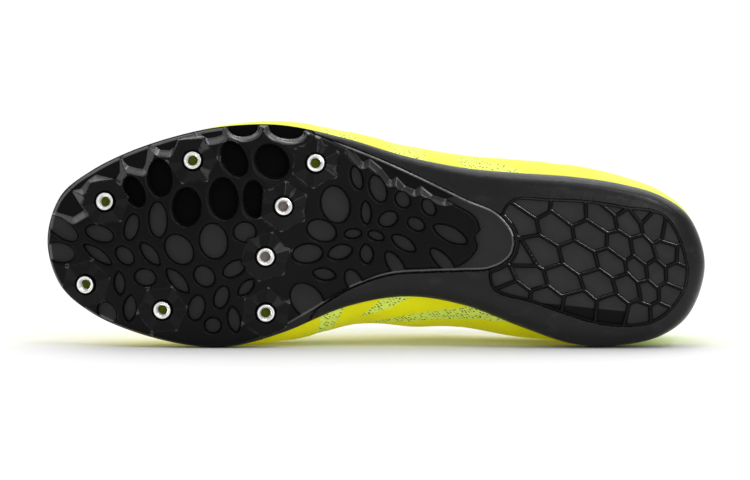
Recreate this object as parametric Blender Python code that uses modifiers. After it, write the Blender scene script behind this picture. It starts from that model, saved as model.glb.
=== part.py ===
"""A left training shoe for the track, lying on its inner side.

The shoe is modelled standing, in its own frame: x runs from heel to toe, y to the
outer side, z up from the tread. One empty then lays the finished shoe on its inner
side, where its sole edge and its upper both touch the floor. Lengths are in metres.
"""

import math
from collections import namedtuple

import bmesh
import bpy
import numpy as np
from mathutils import Matrix, Vector

MM = 0.001

# Driving sizes of the last and the sole.
SOLE_LENGTH = 285 * MM
BALL_WIDTH = 96 * MM
INSTEP_HEIGHT = 76 * MM
HEEL_HEIGHT = 71 * MM
UPPER_WALL = 1.8 * MM
COLLAR_WALL = 3.6 * MM
FIT_GAP = 0.3 * MM

# Layers of the sole, measured up from the tread surface.
WEB_HEIGHT = 2.6 * MM
PLATE_LOW = WEB_HEIGHT + FIT_GAP
PLATE_HIGH = PLATE_LOW + 1.2 * MM
PLATE_SEAT = PLATE_HIGH + 1.3 * FIT_GAP
CELL_DEPTH = 1.1 * MM
PAD_HIGH = 2.6 * MM
PAD_SEAT = PAD_HIGH + FIT_GAP
RIM_RISE = 0.8 * MM
INSOLE_THICKNESS = 3.5 * MM

# One row for each section of the shoe, from the heel's tip to the toe's tip. Lengths
# along the shoe are shares of the sole length, widths are shares of the ball width,
# and top_height is a share of the instep height. The top columns give the edge of the
# collar and the throat that the section's wall runs up to.
Section = namedtuple("Section", "along inner outer top_along top_inner top_outer top_height")
SECTIONS = [
    Section(0.000, -0.068, -0.068, 0.025, -0.068, -0.068, HEEL_HEIGHT / INSTEP_HEIGHT),
    Section(0.021, -0.276, 0.135, 0.033, -0.167, 0.036, 0.928),
    Section(0.067, -0.388, 0.243, 0.067, -0.281, 0.141, 0.868),
    Section(0.133, -0.430, 0.300, 0.130, -0.350, 0.208, 0.776),
    Section(0.204, -0.421, 0.331, 0.204, -0.362, 0.229, 0.737),
    Section(0.281, -0.344, 0.348, 0.288, -0.312, 0.214, 0.789),
    Section(0.368, -0.246, 0.373, 0.361, -0.229, 0.182, 0.921),
    Section(0.456, -0.208, 0.427, 0.428, -0.151, 0.167, 1.000),
    Section(0.547, -0.255, 0.508, 0.509, -0.104, 0.172, 0.934),
    Section(0.639, -0.366, 0.566, 0.589, -0.068, 0.172, 0.849),
    Section(0.719, -0.429, 0.565, 0.649, -0.042, 0.161, 0.783),
    Section(0.789, -0.422, 0.529, 0.682, -0.016, 0.141, 0.750),
    Section(0.867, -0.366, 0.456, 0.698, 0.010, 0.120, 0.734),
    Section(0.933, -0.280, 0.360, 0.707, 0.031, 0.099, 0.726),
    Section(0.981, -0.154, 0.240, 0.712, 0.048, 0.083, 0.722),
    Section(1.000, 0.042, 0.042, 0.713, 0.066, 0.066, 0.721),
]
LAST = len(SECTIONS) - 1

# How the upper's wall bows between the sole and its top edge, at some of the sections.
# Flare is how far the wall leans out over the sole edge, rise how high that pull
# reaches, shoulder how far the wall stays out below its top edge, and drop how much
# lower that pull lies. All are in millimetres.
Wall = namedtuple("Wall", "section flare_in flare_out rise shoulder_in shoulder_out drop")
WALLS = [
    Wall(0, 3.0, 3.0, 22.0, 1.0, 1.0, 16.0),
    Wall(3, 2.2, 10.0, 21.0, 5.0, 6.0, 14.0),
    Wall(4, 3.5, 13.0, 21.0, 6.0, 8.0, 13.0),
    Wall(5, 13.0, 15.0, 21.0, 8.0, 10.0, 12.0),
    Wall(6, 20.0, 15.0, 21.0, 15.0, 14.0, 10.0),
    Wall(7, 26.0, 13.0, 20.0, 22.0, 20.0, 9.0),
    Wall(8, 20.0, 11.5, 20.0, 22.0, 22.0, 7.0),
    Wall(9, 16.0, 10.0, 19.5, 23.0, 23.0, 5.5),
    Wall(10, 6.0, 8.0, 19.0, 24.0, 24.0, 4.0),
    Wall(12, 3.0, 3.0, 17.0, 30.0, 28.0, 3.5),
    Wall(15, 1.5, 1.5, 16.5, 37.0, 37.0, 3.0),
]

# The sole from the side, in millimetres above the floor of the standing shoe. Tread is
# the face of the web and of the heel pad's ribs, bed is the top of the midsole, and crown is
# how much the tread curves up at the two edges.
Profile = namedtuple("Profile", "along tread bed crown")
PROFILES = [
    Profile(0.00, 4.5, 19.5, 0.0),
    Profile(0.03, 1.6, 19.2, 0.0),
    Profile(0.07, 0.2, 18.8, 0.0),
    Profile(0.10, 0.0, 18.4, 0.0),
    Profile(0.12, 0.0, 18.1, 0.0),
    Profile(0.22, 0.0, 16.8, 0.0),
    Profile(0.24, 0.0, 16.5, 0.0),
    Profile(0.29, 0.4, 16.0, 0.0),
    Profile(0.34, 1.5, 15.4, 0.3),
    Profile(0.42, 3.6, 14.5, 1.0),
    Profile(0.51, 4.6, 13.4, 2.0),
    Profile(0.60, 3.2, 12.5, 3.0),
    Profile(0.67, 1.2, 11.9, 3.5),
    Profile(0.72, 0.8, 11.8, 3.5),
    Profile(0.78, 1.4, 12.3, 3.5),
    Profile(0.85, 4.2, 14.6, 3.5),
    Profile(0.93, 8.8, 18.9, 3.0),
    Profile(1.00, 14.5, 24.6, 2.5),
]

# Tail of the spike plate, as shares of the sole length and the ball width. Ahead of
# these points the plate runs along the sole's own edge.
PlateEdge = namedtuple("PlateEdge", "along across")
PLATE_OUTER_TAIL = [
    PlateEdge(0.291, 0.072),
    PlateEdge(0.312, 0.161),
    PlateEdge(0.362, 0.232),
    PlateEdge(0.438, 0.341),
    PlateEdge(0.506, 0.431),
    PlateEdge(0.575, 0.506),
]
PLATE_INNER_TAIL = [
    PlateEdge(0.294, -0.015),
    PlateEdge(0.308, -0.056),
    PlateEdge(0.327, -0.080),
    PlateEdge(0.368, -0.089),
    PlateEdge(0.421, -0.095),
    PlateEdge(0.477, -0.107),
    PlateEdge(0.537, -0.167),
    PlateEdge(0.607, -0.288),
]
PLATE_TAIL_TIP = PlateEdge(0.2893, 0.032)
PLATE_FIRST_FULL_SECTION = 9
PLATE_INSET = 0.5 * MM

# The heel pad's outline, from its back round its outer side to the front and back
# along its inner side. The plate's tail is cut out of its front.
PAD_EDGE = [
    PlateEdge(0.026, -0.075),
    PlateEdge(0.038, 0.050),
    PlateEdge(0.062, 0.160),
    PlateEdge(0.124, 0.200),
    PlateEdge(0.180, 0.226),
    PlateEdge(0.240, 0.235),
    PlateEdge(0.293, 0.233),
    PlateEdge(0.326, 0.040),
    PlateEdge(0.322, -0.172),
    PlateEdge(0.267, -0.228),
    PlateEdge(0.218, -0.280),
    PlateEdge(0.170, -0.325),
    PlateEdge(0.120, -0.341),
    PlateEdge(0.076, -0.318),
    PlateEdge(0.045, -0.240),
    PlateEdge(0.029, -0.150),
]

# The straight line that the heel and the ball touch along the inner side.
INNER_LINE = -0.434 * BALL_WIDTH

# Web tail between its outer and its inner edge, in millimetres from the heel and from
# the inner line.
WebEdge = namedtuple("WebEdge", "along across")
WEB_OUTER_TAIL = [
    WebEdge(98.4, 54.8),
    WebEdge(109.7, 62.8),
    WebEdge(124.9, 73.2),
    WebEdge(144.3, 81.6),
]
WEB_TAIL_TIP = WebEdge(97.1, 50.8)
WEB_INNER_TAIL = [
    WebEdge(99.3, 48.0),
    WebEdge(98.4, 43.3),
    WebEdge(100.7, 39.3),
    WebEdge(105.5, 35.5),
    WebEdge(120.0, 33.9),
    WebEdge(136.0, 32.8),
    WebEdge(148.5, 28.4),
    WebEdge(164.5, 20.0),
]

# Pockets in the web, in millimetres from the heel and from the inner line. Turn is the
# angle of the long axis towards the outer side, point is 1 for an oval and more for a
# leaf with sharp ends, and a deep pocket goes through the plate as well.
Pocket = namedtuple("Pocket", "along across length width turn point deep")
POCKETS = [
    Pocket(278.5, 51.5, 16.0, 7.0, 35, 1.0, False),
    Pocket(279.5, 41.0, 13.0, 8.0, 10, 1.0, False),
    Pocket(261.9, 49.4, 12.0, 6.3, 17, 1.0, False),
    Pocket(262.7, 40.3, 14.0, 4.0, 35, 1.6, False),
    Pocket(250.9, 39.9, 8.7, 5.9, 45, 1.0, False),
    Pocket(239.9, 40.7, 11.7, 4.8, 50, 1.5, False),
    Pocket(247.9, 52.3, 11.0, 5.3, -75, 1.0, False),
    Pocket(236.4, 55.5, 14.8, 7.2, 88, 1.0, False),
    Pocket(246.6, 67.5, 13.0, 7.0, 65, 1.0, True),
    Pocket(235.6, 73.6, 15.5, 9.5, 83, 1.0, True),
    Pocket(223.9, 61.0, 15.6, 11.2, 90, 1.0, True),
    Pocket(207.9, 64.6, 17.0, 11.2, 83, 1.0, True),
    Pocket(203.2, 81.7, 15.0, 9.0, 65, 1.0, True),
    Pocket(187.0, 80.5, 15.0, 12.2, 50, 1.0, True),
    Pocket(194.8, 64.3, 15.2, 8.0, 85, 1.0, True),
    Pocket(227.3, 42.7, 13.7, 10.4, 50, 1.0, False),
    Pocket(212.4, 46.3, 14.8, 11.4, 80, 1.0, False),
    Pocket(198.9, 50.2, 9.0, 8.0, 0, 1.0, False),
    Pocket(242.1, 30.5, 8.7, 6.7, 10, 1.0, False),
    Pocket(228.0, 29.1, 13.0, 5.0, 48, 1.5, False),
    Pocket(216.4, 31.1, 9.3, 7.6, 45, 1.0, False),
    Pocket(203.5, 34.3, 10.0, 5.6, -30, 1.0, False),
    Pocket(253.3, 27.9, 9.5, 4.0, 87, 1.5, False),
    Pocket(248.9, 17.0, 11.0, 4.9, -83, 1.5, False),
    Pocket(258.8, 15.0, 9.5, 7.0, 60, 1.0, False),
    Pocket(209.1, 22.0, 9.3, 5.4, -70, 1.0, False),
    Pocket(219.9, 17.4, 10.4, 6.3, -75, 1.0, False),
    Pocket(198.4, 26.2, 8.6, 3.9, -45, 1.5, False),
    Pocket(212.9, 9.8, 6.5, 6.0, 0, 1.0, False),
    Pocket(203.7, 12.3, 10.6, 4.7, 80, 1.4, False),
    Pocket(159.8, 61.8, 15.6, 11.6, 75, 1.0, False),
    Pocket(165.8, 50.6, 12.4, 8.5, 20, 1.0, False),
    Pocket(171.9, 40.7, 12.4, 7.6, -5, 1.0, False),
    Pocket(157.8, 41.3, 10.2, 5.6, -15, 1.4, False),
    Pocket(164.7, 31.7, 9.3, 4.4, 10, 1.5, False),
    Pocket(146.4, 40.4, 7.8, 4.9, 85, 1.4, False),
    Pocket(152.3, 49.2, 6.6, 3.4, -5, 1.0, False),
    Pocket(142.3, 48.3, 6.4, 3.2, 20, 1.0, False),
    Pocket(146.6, 58.3, 9.4, 3.6, 87, 1.4, False),
    Pocket(172.0, 20.0, 17.0, 12.0, 50, 1.0, False),
    Pocket(152.0, 28.6, 10.0, 6.0, 60, 1.0, False),
    Pocket(134.0, 35.6, 13.0, 5.3, 55, 1.2, False),
    Pocket(113.6, 37.4, 14.0, 4.8, 45, 1.2, False),
    Pocket(130.4, 45.0, 11.3, 4.6, 33, 1.4, False),
    Pocket(110.2, 48.9, 15.6, 5.6, 27, 1.4, False),
    Pocket(137.0, 55.5, 7.8, 5.7, -25, 1.0, False),
    Pocket(125.0, 53.3, 7.3, 4.6, 30, 1.0, False),
    Pocket(130.7, 63.9, 6.9, 5.4, 60, 1.0, False),
    Pocket(119.5, 60.6, 7.3, 4.6, 60, 1.0, False),
    Pocket(141.4, 68.6, 11.5, 6.0, 70, 1.0, False),
    Pocket(150.5, 73.3, 9.7, 4.0, 75, 1.2, False),
    Pocket(199.7, 95.2, 13.0, 8.0, 0, 1.0, True),
    Pocket(181.0, 94.2, 15.0, 8.0, 10, 1.0, True),
    Pocket(214.5, 94.6, 8.0, 6.0, -10, 1.0, False),
    Pocket(233.5, 89.6, 9.0, 6.0, -20, 1.0, False),
    Pocket(246.5, 83.8, 9.0, 6.5, -25, 1.0, False),
    Pocket(275.0, 66.5, 9.0, 7.0, -45, 1.0, False),
]

# Centres of the spike sockets, in millimetres from the heel and from the inner line.
Spike = namedtuple("Spike", "along across turn")
SPIKES = [
    Spike(259.4, 63.3, 20),
    Spike(221.3, 81.1, 25),
    Spike(168.3, 79.8, 5),
    Spike(182.2, 61.2, 5),
    Spike(190.0, 39.5, 15),
    Spike(190.0, 15.2, 5),
    Spike(234.7, 16.5, 25),
    Spike(268.1, 27.3, 15),
]
BOSS_RADIUS = 11.2 * MM
BOSS_CROWN_RADIUS = 5.2 * MM
BOSS_STEP = 0.3 * MM
BOSS_PROUD = 0.9 * MM
SOCKET_RADIUS = 4.1 * MM
SOCKET_BORE = 2.45 * MM
SOCKET_PROUD = 0.15 * MM
SOCKET_LENGTH = 4.6 * MM
SOCKET_FLOOR = 0.7 * MM

# Middles of the heel pad's cells, in millimetres from the heel and from the inner line.
Cell = namedtuple("Cell", "along across")
CELLS = [
    Cell(75.3, 62.1), Cell(59.1, 59.6), Cell(44.7, 56.3), Cell(39.7, 62.2),
    Cell(33.7, 54.2), Cell(28.4, 59.6), Cell(22.8, 52.0), Cell(14.1, 48.8),
    Cell(16.7, 40.5), Cell(8.5, 40.1), Cell(12.7, 31.1), Cell(27.6, 41.2),
    Cell(29.4, 33.7), Cell(22.0, 31.5), Cell(36.4, 43.4), Cell(49.4, 48.4),
    Cell(65.6, 52.0), Cell(80.0, 54.9), Cell(71.3, 41.2), Cell(54.4, 38.4),
    Cell(40.0, 36.2), Cell(80.7, 39.9), Cell(76.7, 30.8), Cell(61.6, 28.6),
    Cell(45.8, 27.2), Cell(33.4, 25.8), Cell(24.7, 23.6), Cell(16.3, 22.2),
    Cell(19.9, 14.5), Cell(28.2, 14.1), Cell(40.0, 17.0), Cell(54.8, 18.2),
    Cell(68.8, 20.3), Cell(82.8, 23.9), Cell(88.6, 30.8),
]
CELL_RIB = 1.3 * MM
CELL_FALL = 0.9 * MM
CELL_FALL_WIDTH = 9.0 * MM
PAD_SHEET = 0.6 * MM

FEATHER_INSET = 1.0 * MM
LOOP_STEPS = 60
WALL_STEPS = 8

TONGUE_ROWS = [10.4, 9.6, 8.8, 8.0, 7.5, 7.1]
TONGUE_THICKNESS = 2.6 * MM
TONGUE_TOP_REACH = 24 * MM
TONGUE_FRONT_REACH = 15 * MM

LACE_ROWS = [10.0, 9.4, 8.8, 8.2, 7.6, 7.1]
LACE_RADIUS = 1.4 * MM
LACE_CLEARANCE = 0.5 * MM
EYELET_SHARE = 0.90

Finish = namedtuple("Finish", "colour roughness metallic density")
FINISHES = {
    "neon_upper": Finish((0.80, 0.78, 0.02), 0.55, 0.0, 900),
    "black_foam": Finish((0.012, 0.012, 0.013), 0.45, 0.0, 300),
    "grey_plate": Finish((0.045, 0.044, 0.046), 0.60, 0.0, 1100),
    "black_web": Finish((0.013, 0.013, 0.014), 0.35, 0.0, 1100),
    "black_rubber": Finish((0.014, 0.014, 0.015), 0.55, 0.0, 1200),
    "bright_steel": Finish((0.75, 0.75, 0.74), 0.22, 1.0, 7850),
    "grey_lining": Finish((0.05, 0.05, 0.05), 0.85, 0.0, 300),
    "black_lace": Finish((0.02, 0.02, 0.02), 0.80, 0.0, 300),
}

for leftover in list(bpy.data.objects):
    bpy.data.objects.remove(leftover, do_unlink=True)

parts = bpy.data.collections.new("training_shoe")
cutters = bpy.data.collections.new("cutters")
bpy.context.scene.collection.children.link(parts)
bpy.context.scene.collection.children.link(cutters)

materials = {}
for slot, finish in FINISHES.items():
    material = bpy.data.materials.new(slot)
    material.use_nodes = True
    shader = material.node_tree.nodes["Principled BSDF"]
    shader.inputs["Base Color"].default_value = (*finish.colour, 1.0)
    shader.inputs["Roughness"].default_value = finish.roughness
    shader.inputs["Metallic"].default_value = finish.metallic
    materials[slot] = material


def interpolate(knots, values, at):
    """A smooth curve through table values, with slopes taken from the neighbours."""
    knots = np.asarray(knots, dtype=float)
    values = np.asarray(values, dtype=float)
    slopes = np.gradient(values, knots, axis=0)
    left = int(np.clip(np.searchsorted(knots, at) - 1, 0, len(knots) - 2))
    span = knots[left + 1] - knots[left]
    t = float(np.clip((at - knots[left]) / span, 0.0, 1.0))
    start = (1 + 2 * t) * (1 - t) ** 2 * values[left] + t * (1 - t) ** 2 * span * slopes[left]
    stop = t * t * (3 - 2 * t) * values[left + 1] + t * t * (t - 1) * span * slopes[left + 1]
    return start + stop


def loop_rows(outer, inner):
    """Rows of a closed loop: heel tip, outer side, toe tip, then the inner side back."""
    rows = list(outer) + list(inner[LAST - 1:0:-1])
    return np.array(rows[-2:] + rows + rows[:3], dtype=float)


LOOP_LENGTH = 2 * LAST
LOOP_KNOTS = np.arange(-2, LOOP_LENGTH + 3)
EDGE_ROWS = loop_rows(
    [(row.along * SOLE_LENGTH, row.outer * BALL_WIDTH) for row in SECTIONS],
    [(row.along * SOLE_LENGTH, row.inner * BALL_WIDTH) for row in SECTIONS],
)
TOP_ROWS = loop_rows(
    [(row.top_along * SOLE_LENGTH, row.top_outer * BALL_WIDTH, row.top_height * INSTEP_HEIGHT)
     for row in SECTIONS],
    [(row.top_along * SOLE_LENGTH, row.top_inner * BALL_WIDTH, row.top_height * INSTEP_HEIGHT)
     for row in SECTIONS],
)
WALL_KNOTS = [row.section for row in WALLS]
WALL_OUTER = [(row.flare_out, row.rise, row.shoulder_out, row.drop) for row in WALLS]
WALL_INNER = [(row.flare_in, row.rise, row.shoulder_in, row.drop) for row in WALLS]
BOW_ROWS = loop_rows(
    [interpolate(WALL_KNOTS, WALL_OUTER, section) * MM for section in range(LAST + 1)],
    [interpolate(WALL_KNOTS, WALL_INNER, section) * MM for section in range(LAST + 1)],
)
PROFILE_KNOTS = [row.along * SOLE_LENGTH for row in PROFILES]
PROFILE_ROWS = [(row.tread * MM, row.bed * MM, row.crown * MM) for row in PROFILES]
MIDDLE_KNOTS = [row.along * SOLE_LENGTH for row in SECTIONS]
MIDDLE_ROWS = [(row.inner * BALL_WIDTH, row.outer * BALL_WIDTH) for row in SECTIONS]


def edge_normal(u):
    """Outward direction of the sole's edge, seen from above."""
    ahead = interpolate(LOOP_KNOTS, EDGE_ROWS, (u % LOOP_LENGTH) + 0.02)
    behind = interpolate(LOOP_KNOTS, EDGE_ROWS, (u % LOOP_LENGTH) - 0.02)
    along, across = ahead - behind
    return Vector((-across, along)).normalized()


def edge_point(u, inset):
    """A point of the sole's edge, moved inwards."""
    return Vector(interpolate(LOOP_KNOTS, EDGE_ROWS, u % LOOP_LENGTH)) - inset * edge_normal(u)


def tread_height(x, y):
    """Height of the tread surface, with its crown across the sole."""
    tread, bed, crown = interpolate(PROFILE_KNOTS, PROFILE_ROWS, x)
    inner, outer = interpolate(MIDDLE_KNOTS, MIDDLE_ROWS, x)
    half = max(0.5 * (outer - inner), 0.25 * BALL_WIDTH)
    share = (y - 0.5 * (outer + inner)) / half
    return float(tread + crown * min(share * share, 1.2))


def bed_height(x, y):
    """Height of the midsole's top."""
    return float(interpolate(PROFILE_KNOTS, PROFILE_ROWS, x)[1])


def tread_frame(x, y, depth):
    """Placement on the tread: z runs into the sole along the surface normal."""
    step = 0.5 * MM
    slope_x = (tread_height(x + step, y) - tread_height(x - step, y)) / (2 * step)
    slope_y = (tread_height(x, y + step) - tread_height(x, y - step)) / (2 * step)
    inward = Vector((-slope_x, -slope_y, 1.0)).normalized()
    spot = Vector((x, y, tread_height(x, y))) + depth * inward
    turn = Vector((0, 0, 1)).rotation_difference(inward).to_matrix().to_4x4()
    return Matrix.Translation(spot) @ turn


def wall_point(u, v):
    """The upper's outside: u runs round the sole's edge, v from the sole to the top."""
    foot = edge_point(u, FEATHER_INSET)
    foot = Vector((foot.x, foot.y, bed_height(foot.x, foot.y) + 2 * FIT_GAP))
    out = edge_normal(u).to_3d()
    up = Vector((0, 0, 1))
    bow = interpolate(LOOP_KNOTS, BOW_ROWS, u % LOOP_LENGTH)
    flare, rise, shoulder, drop = (float(size) for size in bow)
    top = Vector(interpolate(LOOP_KNOTS, TOP_ROWS, u % LOOP_LENGTH))
    low_pull = foot + flare * out + rise * up
    high_pull = top + shoulder * out - drop * up
    near = (1 - v) ** 3 * foot + 3 * v * (1 - v) ** 2 * low_pull
    far = 3 * v * v * (1 - v) * high_pull + v ** 3 * top
    return near + far


def wall_normal(u, v):
    """Outward direction of the upper's outside."""
    round_edge = wall_point(u + 0.05, v) - wall_point(u - 0.05, v)
    upwards = wall_point(u, min(v + 0.01, 1.0)) - wall_point(u, v - 0.01)
    return upwards.cross(round_edge).normalized()


def add_object(name, mesh, collection, slot=None):
    """Link one mesh as a named object, with its material."""
    item = bpy.data.objects.new(name, mesh)
    collection.objects.link(item)
    if slot:
        mesh.materials.append(materials[slot])
    else:
        item.hide_render = True
        item.display_type = "WIRE"
    return item


def cap(work, ring, columns, height):
    """Close a ring with strips that run from its outer to its inner side."""
    half = len(ring) // 2
    lines = [[ring[0]]]
    for step in range(1, half):
        first, last = ring[step], ring[-step]
        line = [first]
        for column in range(1, columns):
            spot = first.co.lerp(last.co, column / columns)
            spot.z = height(spot.x, spot.y)
            line.append(work.verts.new(spot))
        lines.append(line + [last])
    lines.append([ring[half]])
    for low, high in zip(lines, lines[1:]):
        for column in range(columns):
            corners = [low[min(column, len(low) - 1)], low[min(column + 1, len(low) - 1)],
                       high[min(column + 1, len(high) - 1)], high[min(column, len(high) - 1)]]
            work.faces.new(list(dict.fromkeys(corners)))


def loft(rings, columns, low_height, high_height):
    """A closed mesh through rings of equal length, closed at both ends."""
    work = bmesh.new()
    rows = [[work.verts.new(spot) for spot in ring] for ring in rings]
    for low, high in zip(rows, rows[1:]):
        for step in range(len(low)):
            following = (step + 1) % len(low)
            work.faces.new((low[step], low[following], high[following], high[step]))
    cap(work, rows[0], columns, low_height)
    cap(work, rows[-1], columns, high_height)
    bmesh.ops.recalc_face_normals(work, faces=work.faces)
    mesh = bpy.data.meshes.new("loft")
    work.to_mesh(mesh)
    work.free()
    return mesh


def slab(outline, columns, low_height, high_height):
    """A closed mesh between two heights over an outline."""
    low = [Vector((p.x, p.y, low_height(p.x, p.y))) for p in outline]
    high = [Vector((p.x, p.y, high_height(p.x, p.y))) for p in outline]
    return loft([low, high], columns, low_height, high_height)


def smooth_side(points, count):
    """Steps along a smooth open curve through points, closer together at its ends."""
    points = np.array([tuple(p) for p in points])
    knots = np.concatenate([[0], np.cumsum(np.linalg.norm(np.diff(points, axis=0), axis=1))])
    fine = [interpolate(knots, points, at) for at in np.linspace(0, knots[-1], 20 * count)]
    fine = np.array(fine)
    run = np.concatenate([[0], np.cumsum(np.linalg.norm(np.diff(fine, axis=0), axis=1))])
    share = np.linspace(0, 1, count + 1)
    wanted = run[-1] * (0.4 * share + 0.3 * (1 - np.cos(math.pi * share)))
    return [Vector((np.interp(at, run, fine[:, 0]), np.interp(at, run, fine[:, 1])))
            for at in wanted]


def moved_out(outline, amount):
    """An outline moved outwards by an amount that may depend on the point."""
    moved = []
    for step, spot in enumerate(outline):
        along = outline[(step + 1) % len(outline)] - outline[step - 1]
        moved.append(spot + amount(spot) * Vector((-along.y, along.x)).normalized())
    return moved


def tread_layer(depth):
    """Height function of one layer of the sole."""
    return lambda x, y: tread_height(x, y) + depth


def from_inner_line(row):
    """Plan position of a row measured from the heel and from the inner line."""
    return Vector((row.along * MM, INNER_LINE + row.across * MM))


def boolean(item, operand, operation):
    """Add one exact Boolean to an object."""
    modifier = item.modifiers.new(operation.lower() + "_" + operand.name, "BOOLEAN")
    modifier.operation = operation
    modifier.solver = "EXACT"
    modifier.object = operand


def prisms(name, outlines, low, high):
    """One cutter made of upright prisms, each over its own outline."""
    work = bmesh.new()
    for outline in outlines:
        corners = [work.verts.new((p.x, p.y, low)) for p in outline]
        face = work.faces.new(corners)
        made = bmesh.ops.extrude_face_region(work, geom=[face])["geom"]
        lifted = [item for item in made if isinstance(item, bmesh.types.BMVert)]
        bmesh.ops.translate(work, verts=lifted, vec=(0, 0, high - low))
    bmesh.ops.recalc_face_normals(work, faces=work.faces)
    mesh = bpy.data.meshes.new(name)
    work.to_mesh(mesh)
    work.free()
    return add_object(name, mesh, cutters)


# Midsole: full-length foam with a rounded edge, recessed for the plate and the pad.
sole_steps = [LOOP_LENGTH * step / LOOP_STEPS for step in range(LOOP_STEPS)]


def sole_ring(inset, height):
    """A ring of the sole's edge at one inset, with its own height."""
    spots = [edge_point(u, inset) for u in sole_steps]
    return [Vector((p.x, p.y, height(p.x, p.y))) for p in spots]


def side_height(share):
    """A height part of the way from the midsole's rim up to its top."""
    def height(x, y):
        rim = tread_height(x, y) + RIM_RISE
        return rim + share * (bed_height(x, y) - rim)
    return height


midsole_rings = [
    sole_ring(9.0 * MM, tread_layer(RIM_RISE)),
    sole_ring(4.0 * MM, tread_layer(RIM_RISE + 0.9 * MM)),
    sole_ring(1.2 * MM, tread_layer(RIM_RISE + 3.2 * MM)),
    sole_ring(0.0, side_height(0.50)),
    sole_ring(0.0, side_height(0.94)),
    sole_ring(0.7 * MM, bed_height),
]
midsole = add_object("midsole", loft(midsole_rings, 6, tread_layer(RIM_RISE), bed_height),
                     parts, "black_foam")

# Spike plate: follows the sole's edge under the forefoot, then narrows to a round tail.
forefoot_outer = [edge_point(u, PLATE_INSET)
                  for u in np.arange(PLATE_FIRST_FULL_SECTION, LAST + 0.1, 0.5)]
forefoot_inner = [edge_point(LOOP_LENGTH - u, PLATE_INSET)
                  for u in np.arange(PLATE_FIRST_FULL_SECTION + 1, LAST + 0.1, 0.5)]


def share_point(row):
    """Plan position of a row given in shares of the sole length and the ball width."""
    return Vector((row.along * SOLE_LENGTH, row.across * BALL_WIDTH))


def outline_of(tip, outer_tail, inner_tail, count):
    """A closed outline from a tail tip along the outer side to the toe and back."""
    outer = smooth_side([tip] + outer_tail + forefoot_outer, count)
    inner = smooth_side([tip] + inner_tail + forefoot_inner, count)
    return outer + inner[-2:0:-1]


plate_outline = outline_of(
    share_point(PLATE_TAIL_TIP),
    [share_point(row) for row in PLATE_OUTER_TAIL],
    [share_point(row) for row in PLATE_INNER_TAIL],
    20,
)
plate = add_object("spike_plate", slab(plate_outline, 5, tread_layer(PLATE_LOW),
                                       tread_layer(PLATE_HIGH)), parts, "grey_plate")


def seat_growth(spot):
    """Clearance round the plate, which opens past the sole's edge under the forefoot."""
    share = (spot.x / SOLE_LENGTH - 0.54) / 0.08
    return 0.4 * MM + 7 * MM * min(max(share, 0.0), 1.0)


plate_seat = add_object(
    "plate_seat",
    slab(moved_out(plate_outline, seat_growth), 5, lambda x, y: -20 * MM,
         tread_layer(PLATE_SEAT)),
    cutters,
)
boolean(midsole, plate_seat, "DIFFERENCE")

# Tread web: raised over the plate, with pockets, and a faceted boss round each spike.
web_outline = outline_of(
    from_inner_line(WEB_TAIL_TIP),
    [from_inner_line(row) for row in WEB_OUTER_TAIL],
    [from_inner_line(row) for row in WEB_INNER_TAIL],
    20,
)
web = add_object("tread_web", slab(web_outline, 5, tread_layer(0.0), tread_layer(WEB_HEIGHT)),
                 parts, "black_web")


def pocket_outline(pocket):
    """Oval or leaf outline of one pocket."""
    middle = from_inner_line(pocket)
    turn = Matrix.Rotation(math.radians(pocket.turn), 2)
    sides = 8 if pocket.length < 12 else 10
    spots = []
    for step in range(sides):
        angle = 2 * math.pi * (step + 0.5) / sides
        bow = math.copysign(abs(math.sin(angle)) ** pocket.point, math.sin(angle))
        spot = Vector((0.5 * pocket.length * math.cos(angle), 0.5 * pocket.width * bow)) * MM
        spots.append(middle + turn @ spot)
    return spots


web_pockets = prisms("web_pockets", [pocket_outline(row) for row in POCKETS],
                     -20 * MM, 60 * MM)
plate_pockets = prisms("plate_pockets", [pocket_outline(row) for row in POCKETS if row.deep],
                       -20 * MM, 60 * MM)
boolean(web, web_pockets, "DIFFERENCE")
boolean(plate, plate_pockets, "DIFFERENCE")

boss_work = bmesh.new()
bore_work = bmesh.new()
for spike in SPIKES:
    middle = from_inner_line(spike)
    turn = Matrix.Rotation(math.radians(spike.turn), 4, "Z")
    depth = WEB_HEIGHT - 0.4 * MM + BOSS_STEP
    place = tread_frame(middle.x, middle.y, 0.5 * depth - BOSS_STEP)
    made = bmesh.ops.create_cone(boss_work, cap_ends=True, segments=6, radius1=BOSS_RADIUS,
                                 radius2=BOSS_RADIUS, depth=depth, matrix=place @ turn)
    faces = {face for vert in made["verts"] for face in vert.link_faces}
    outward = place.to_3x3() @ Vector((0, 0, -1))
    front = max(faces, key=lambda face: face.normal.dot(outward))
    bmesh.ops.inset_individual(boss_work, faces=[front], depth=BOSS_PROUD - BOSS_STEP,
                               thickness=(BOSS_RADIUS - BOSS_CROWN_RADIUS) * math.cos(math.pi / 6))
    bmesh.ops.create_cone(bore_work, cap_ends=True, segments=12,
                          radius1=SOCKET_RADIUS + FIT_GAP, radius2=SOCKET_RADIUS + FIT_GAP,
                          depth=20 * MM, matrix=tread_frame(middle.x, middle.y, 0.0))
boss_mesh = bpy.data.meshes.new("web_bosses")
boss_work.to_mesh(boss_mesh)
boss_work.free()
bore_mesh = bpy.data.meshes.new("socket_bores")
bore_work.to_mesh(bore_mesh)
bore_work.free()
web_bosses = add_object("web_bosses", boss_mesh, cutters)
socket_bores = add_object("socket_bores", bore_mesh, cutters)
boolean(web, web_bosses, "UNION")
boolean(web, socket_bores, "DIFFERENCE")
boolean(plate, socket_bores, "DIFFERENCE")

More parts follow.
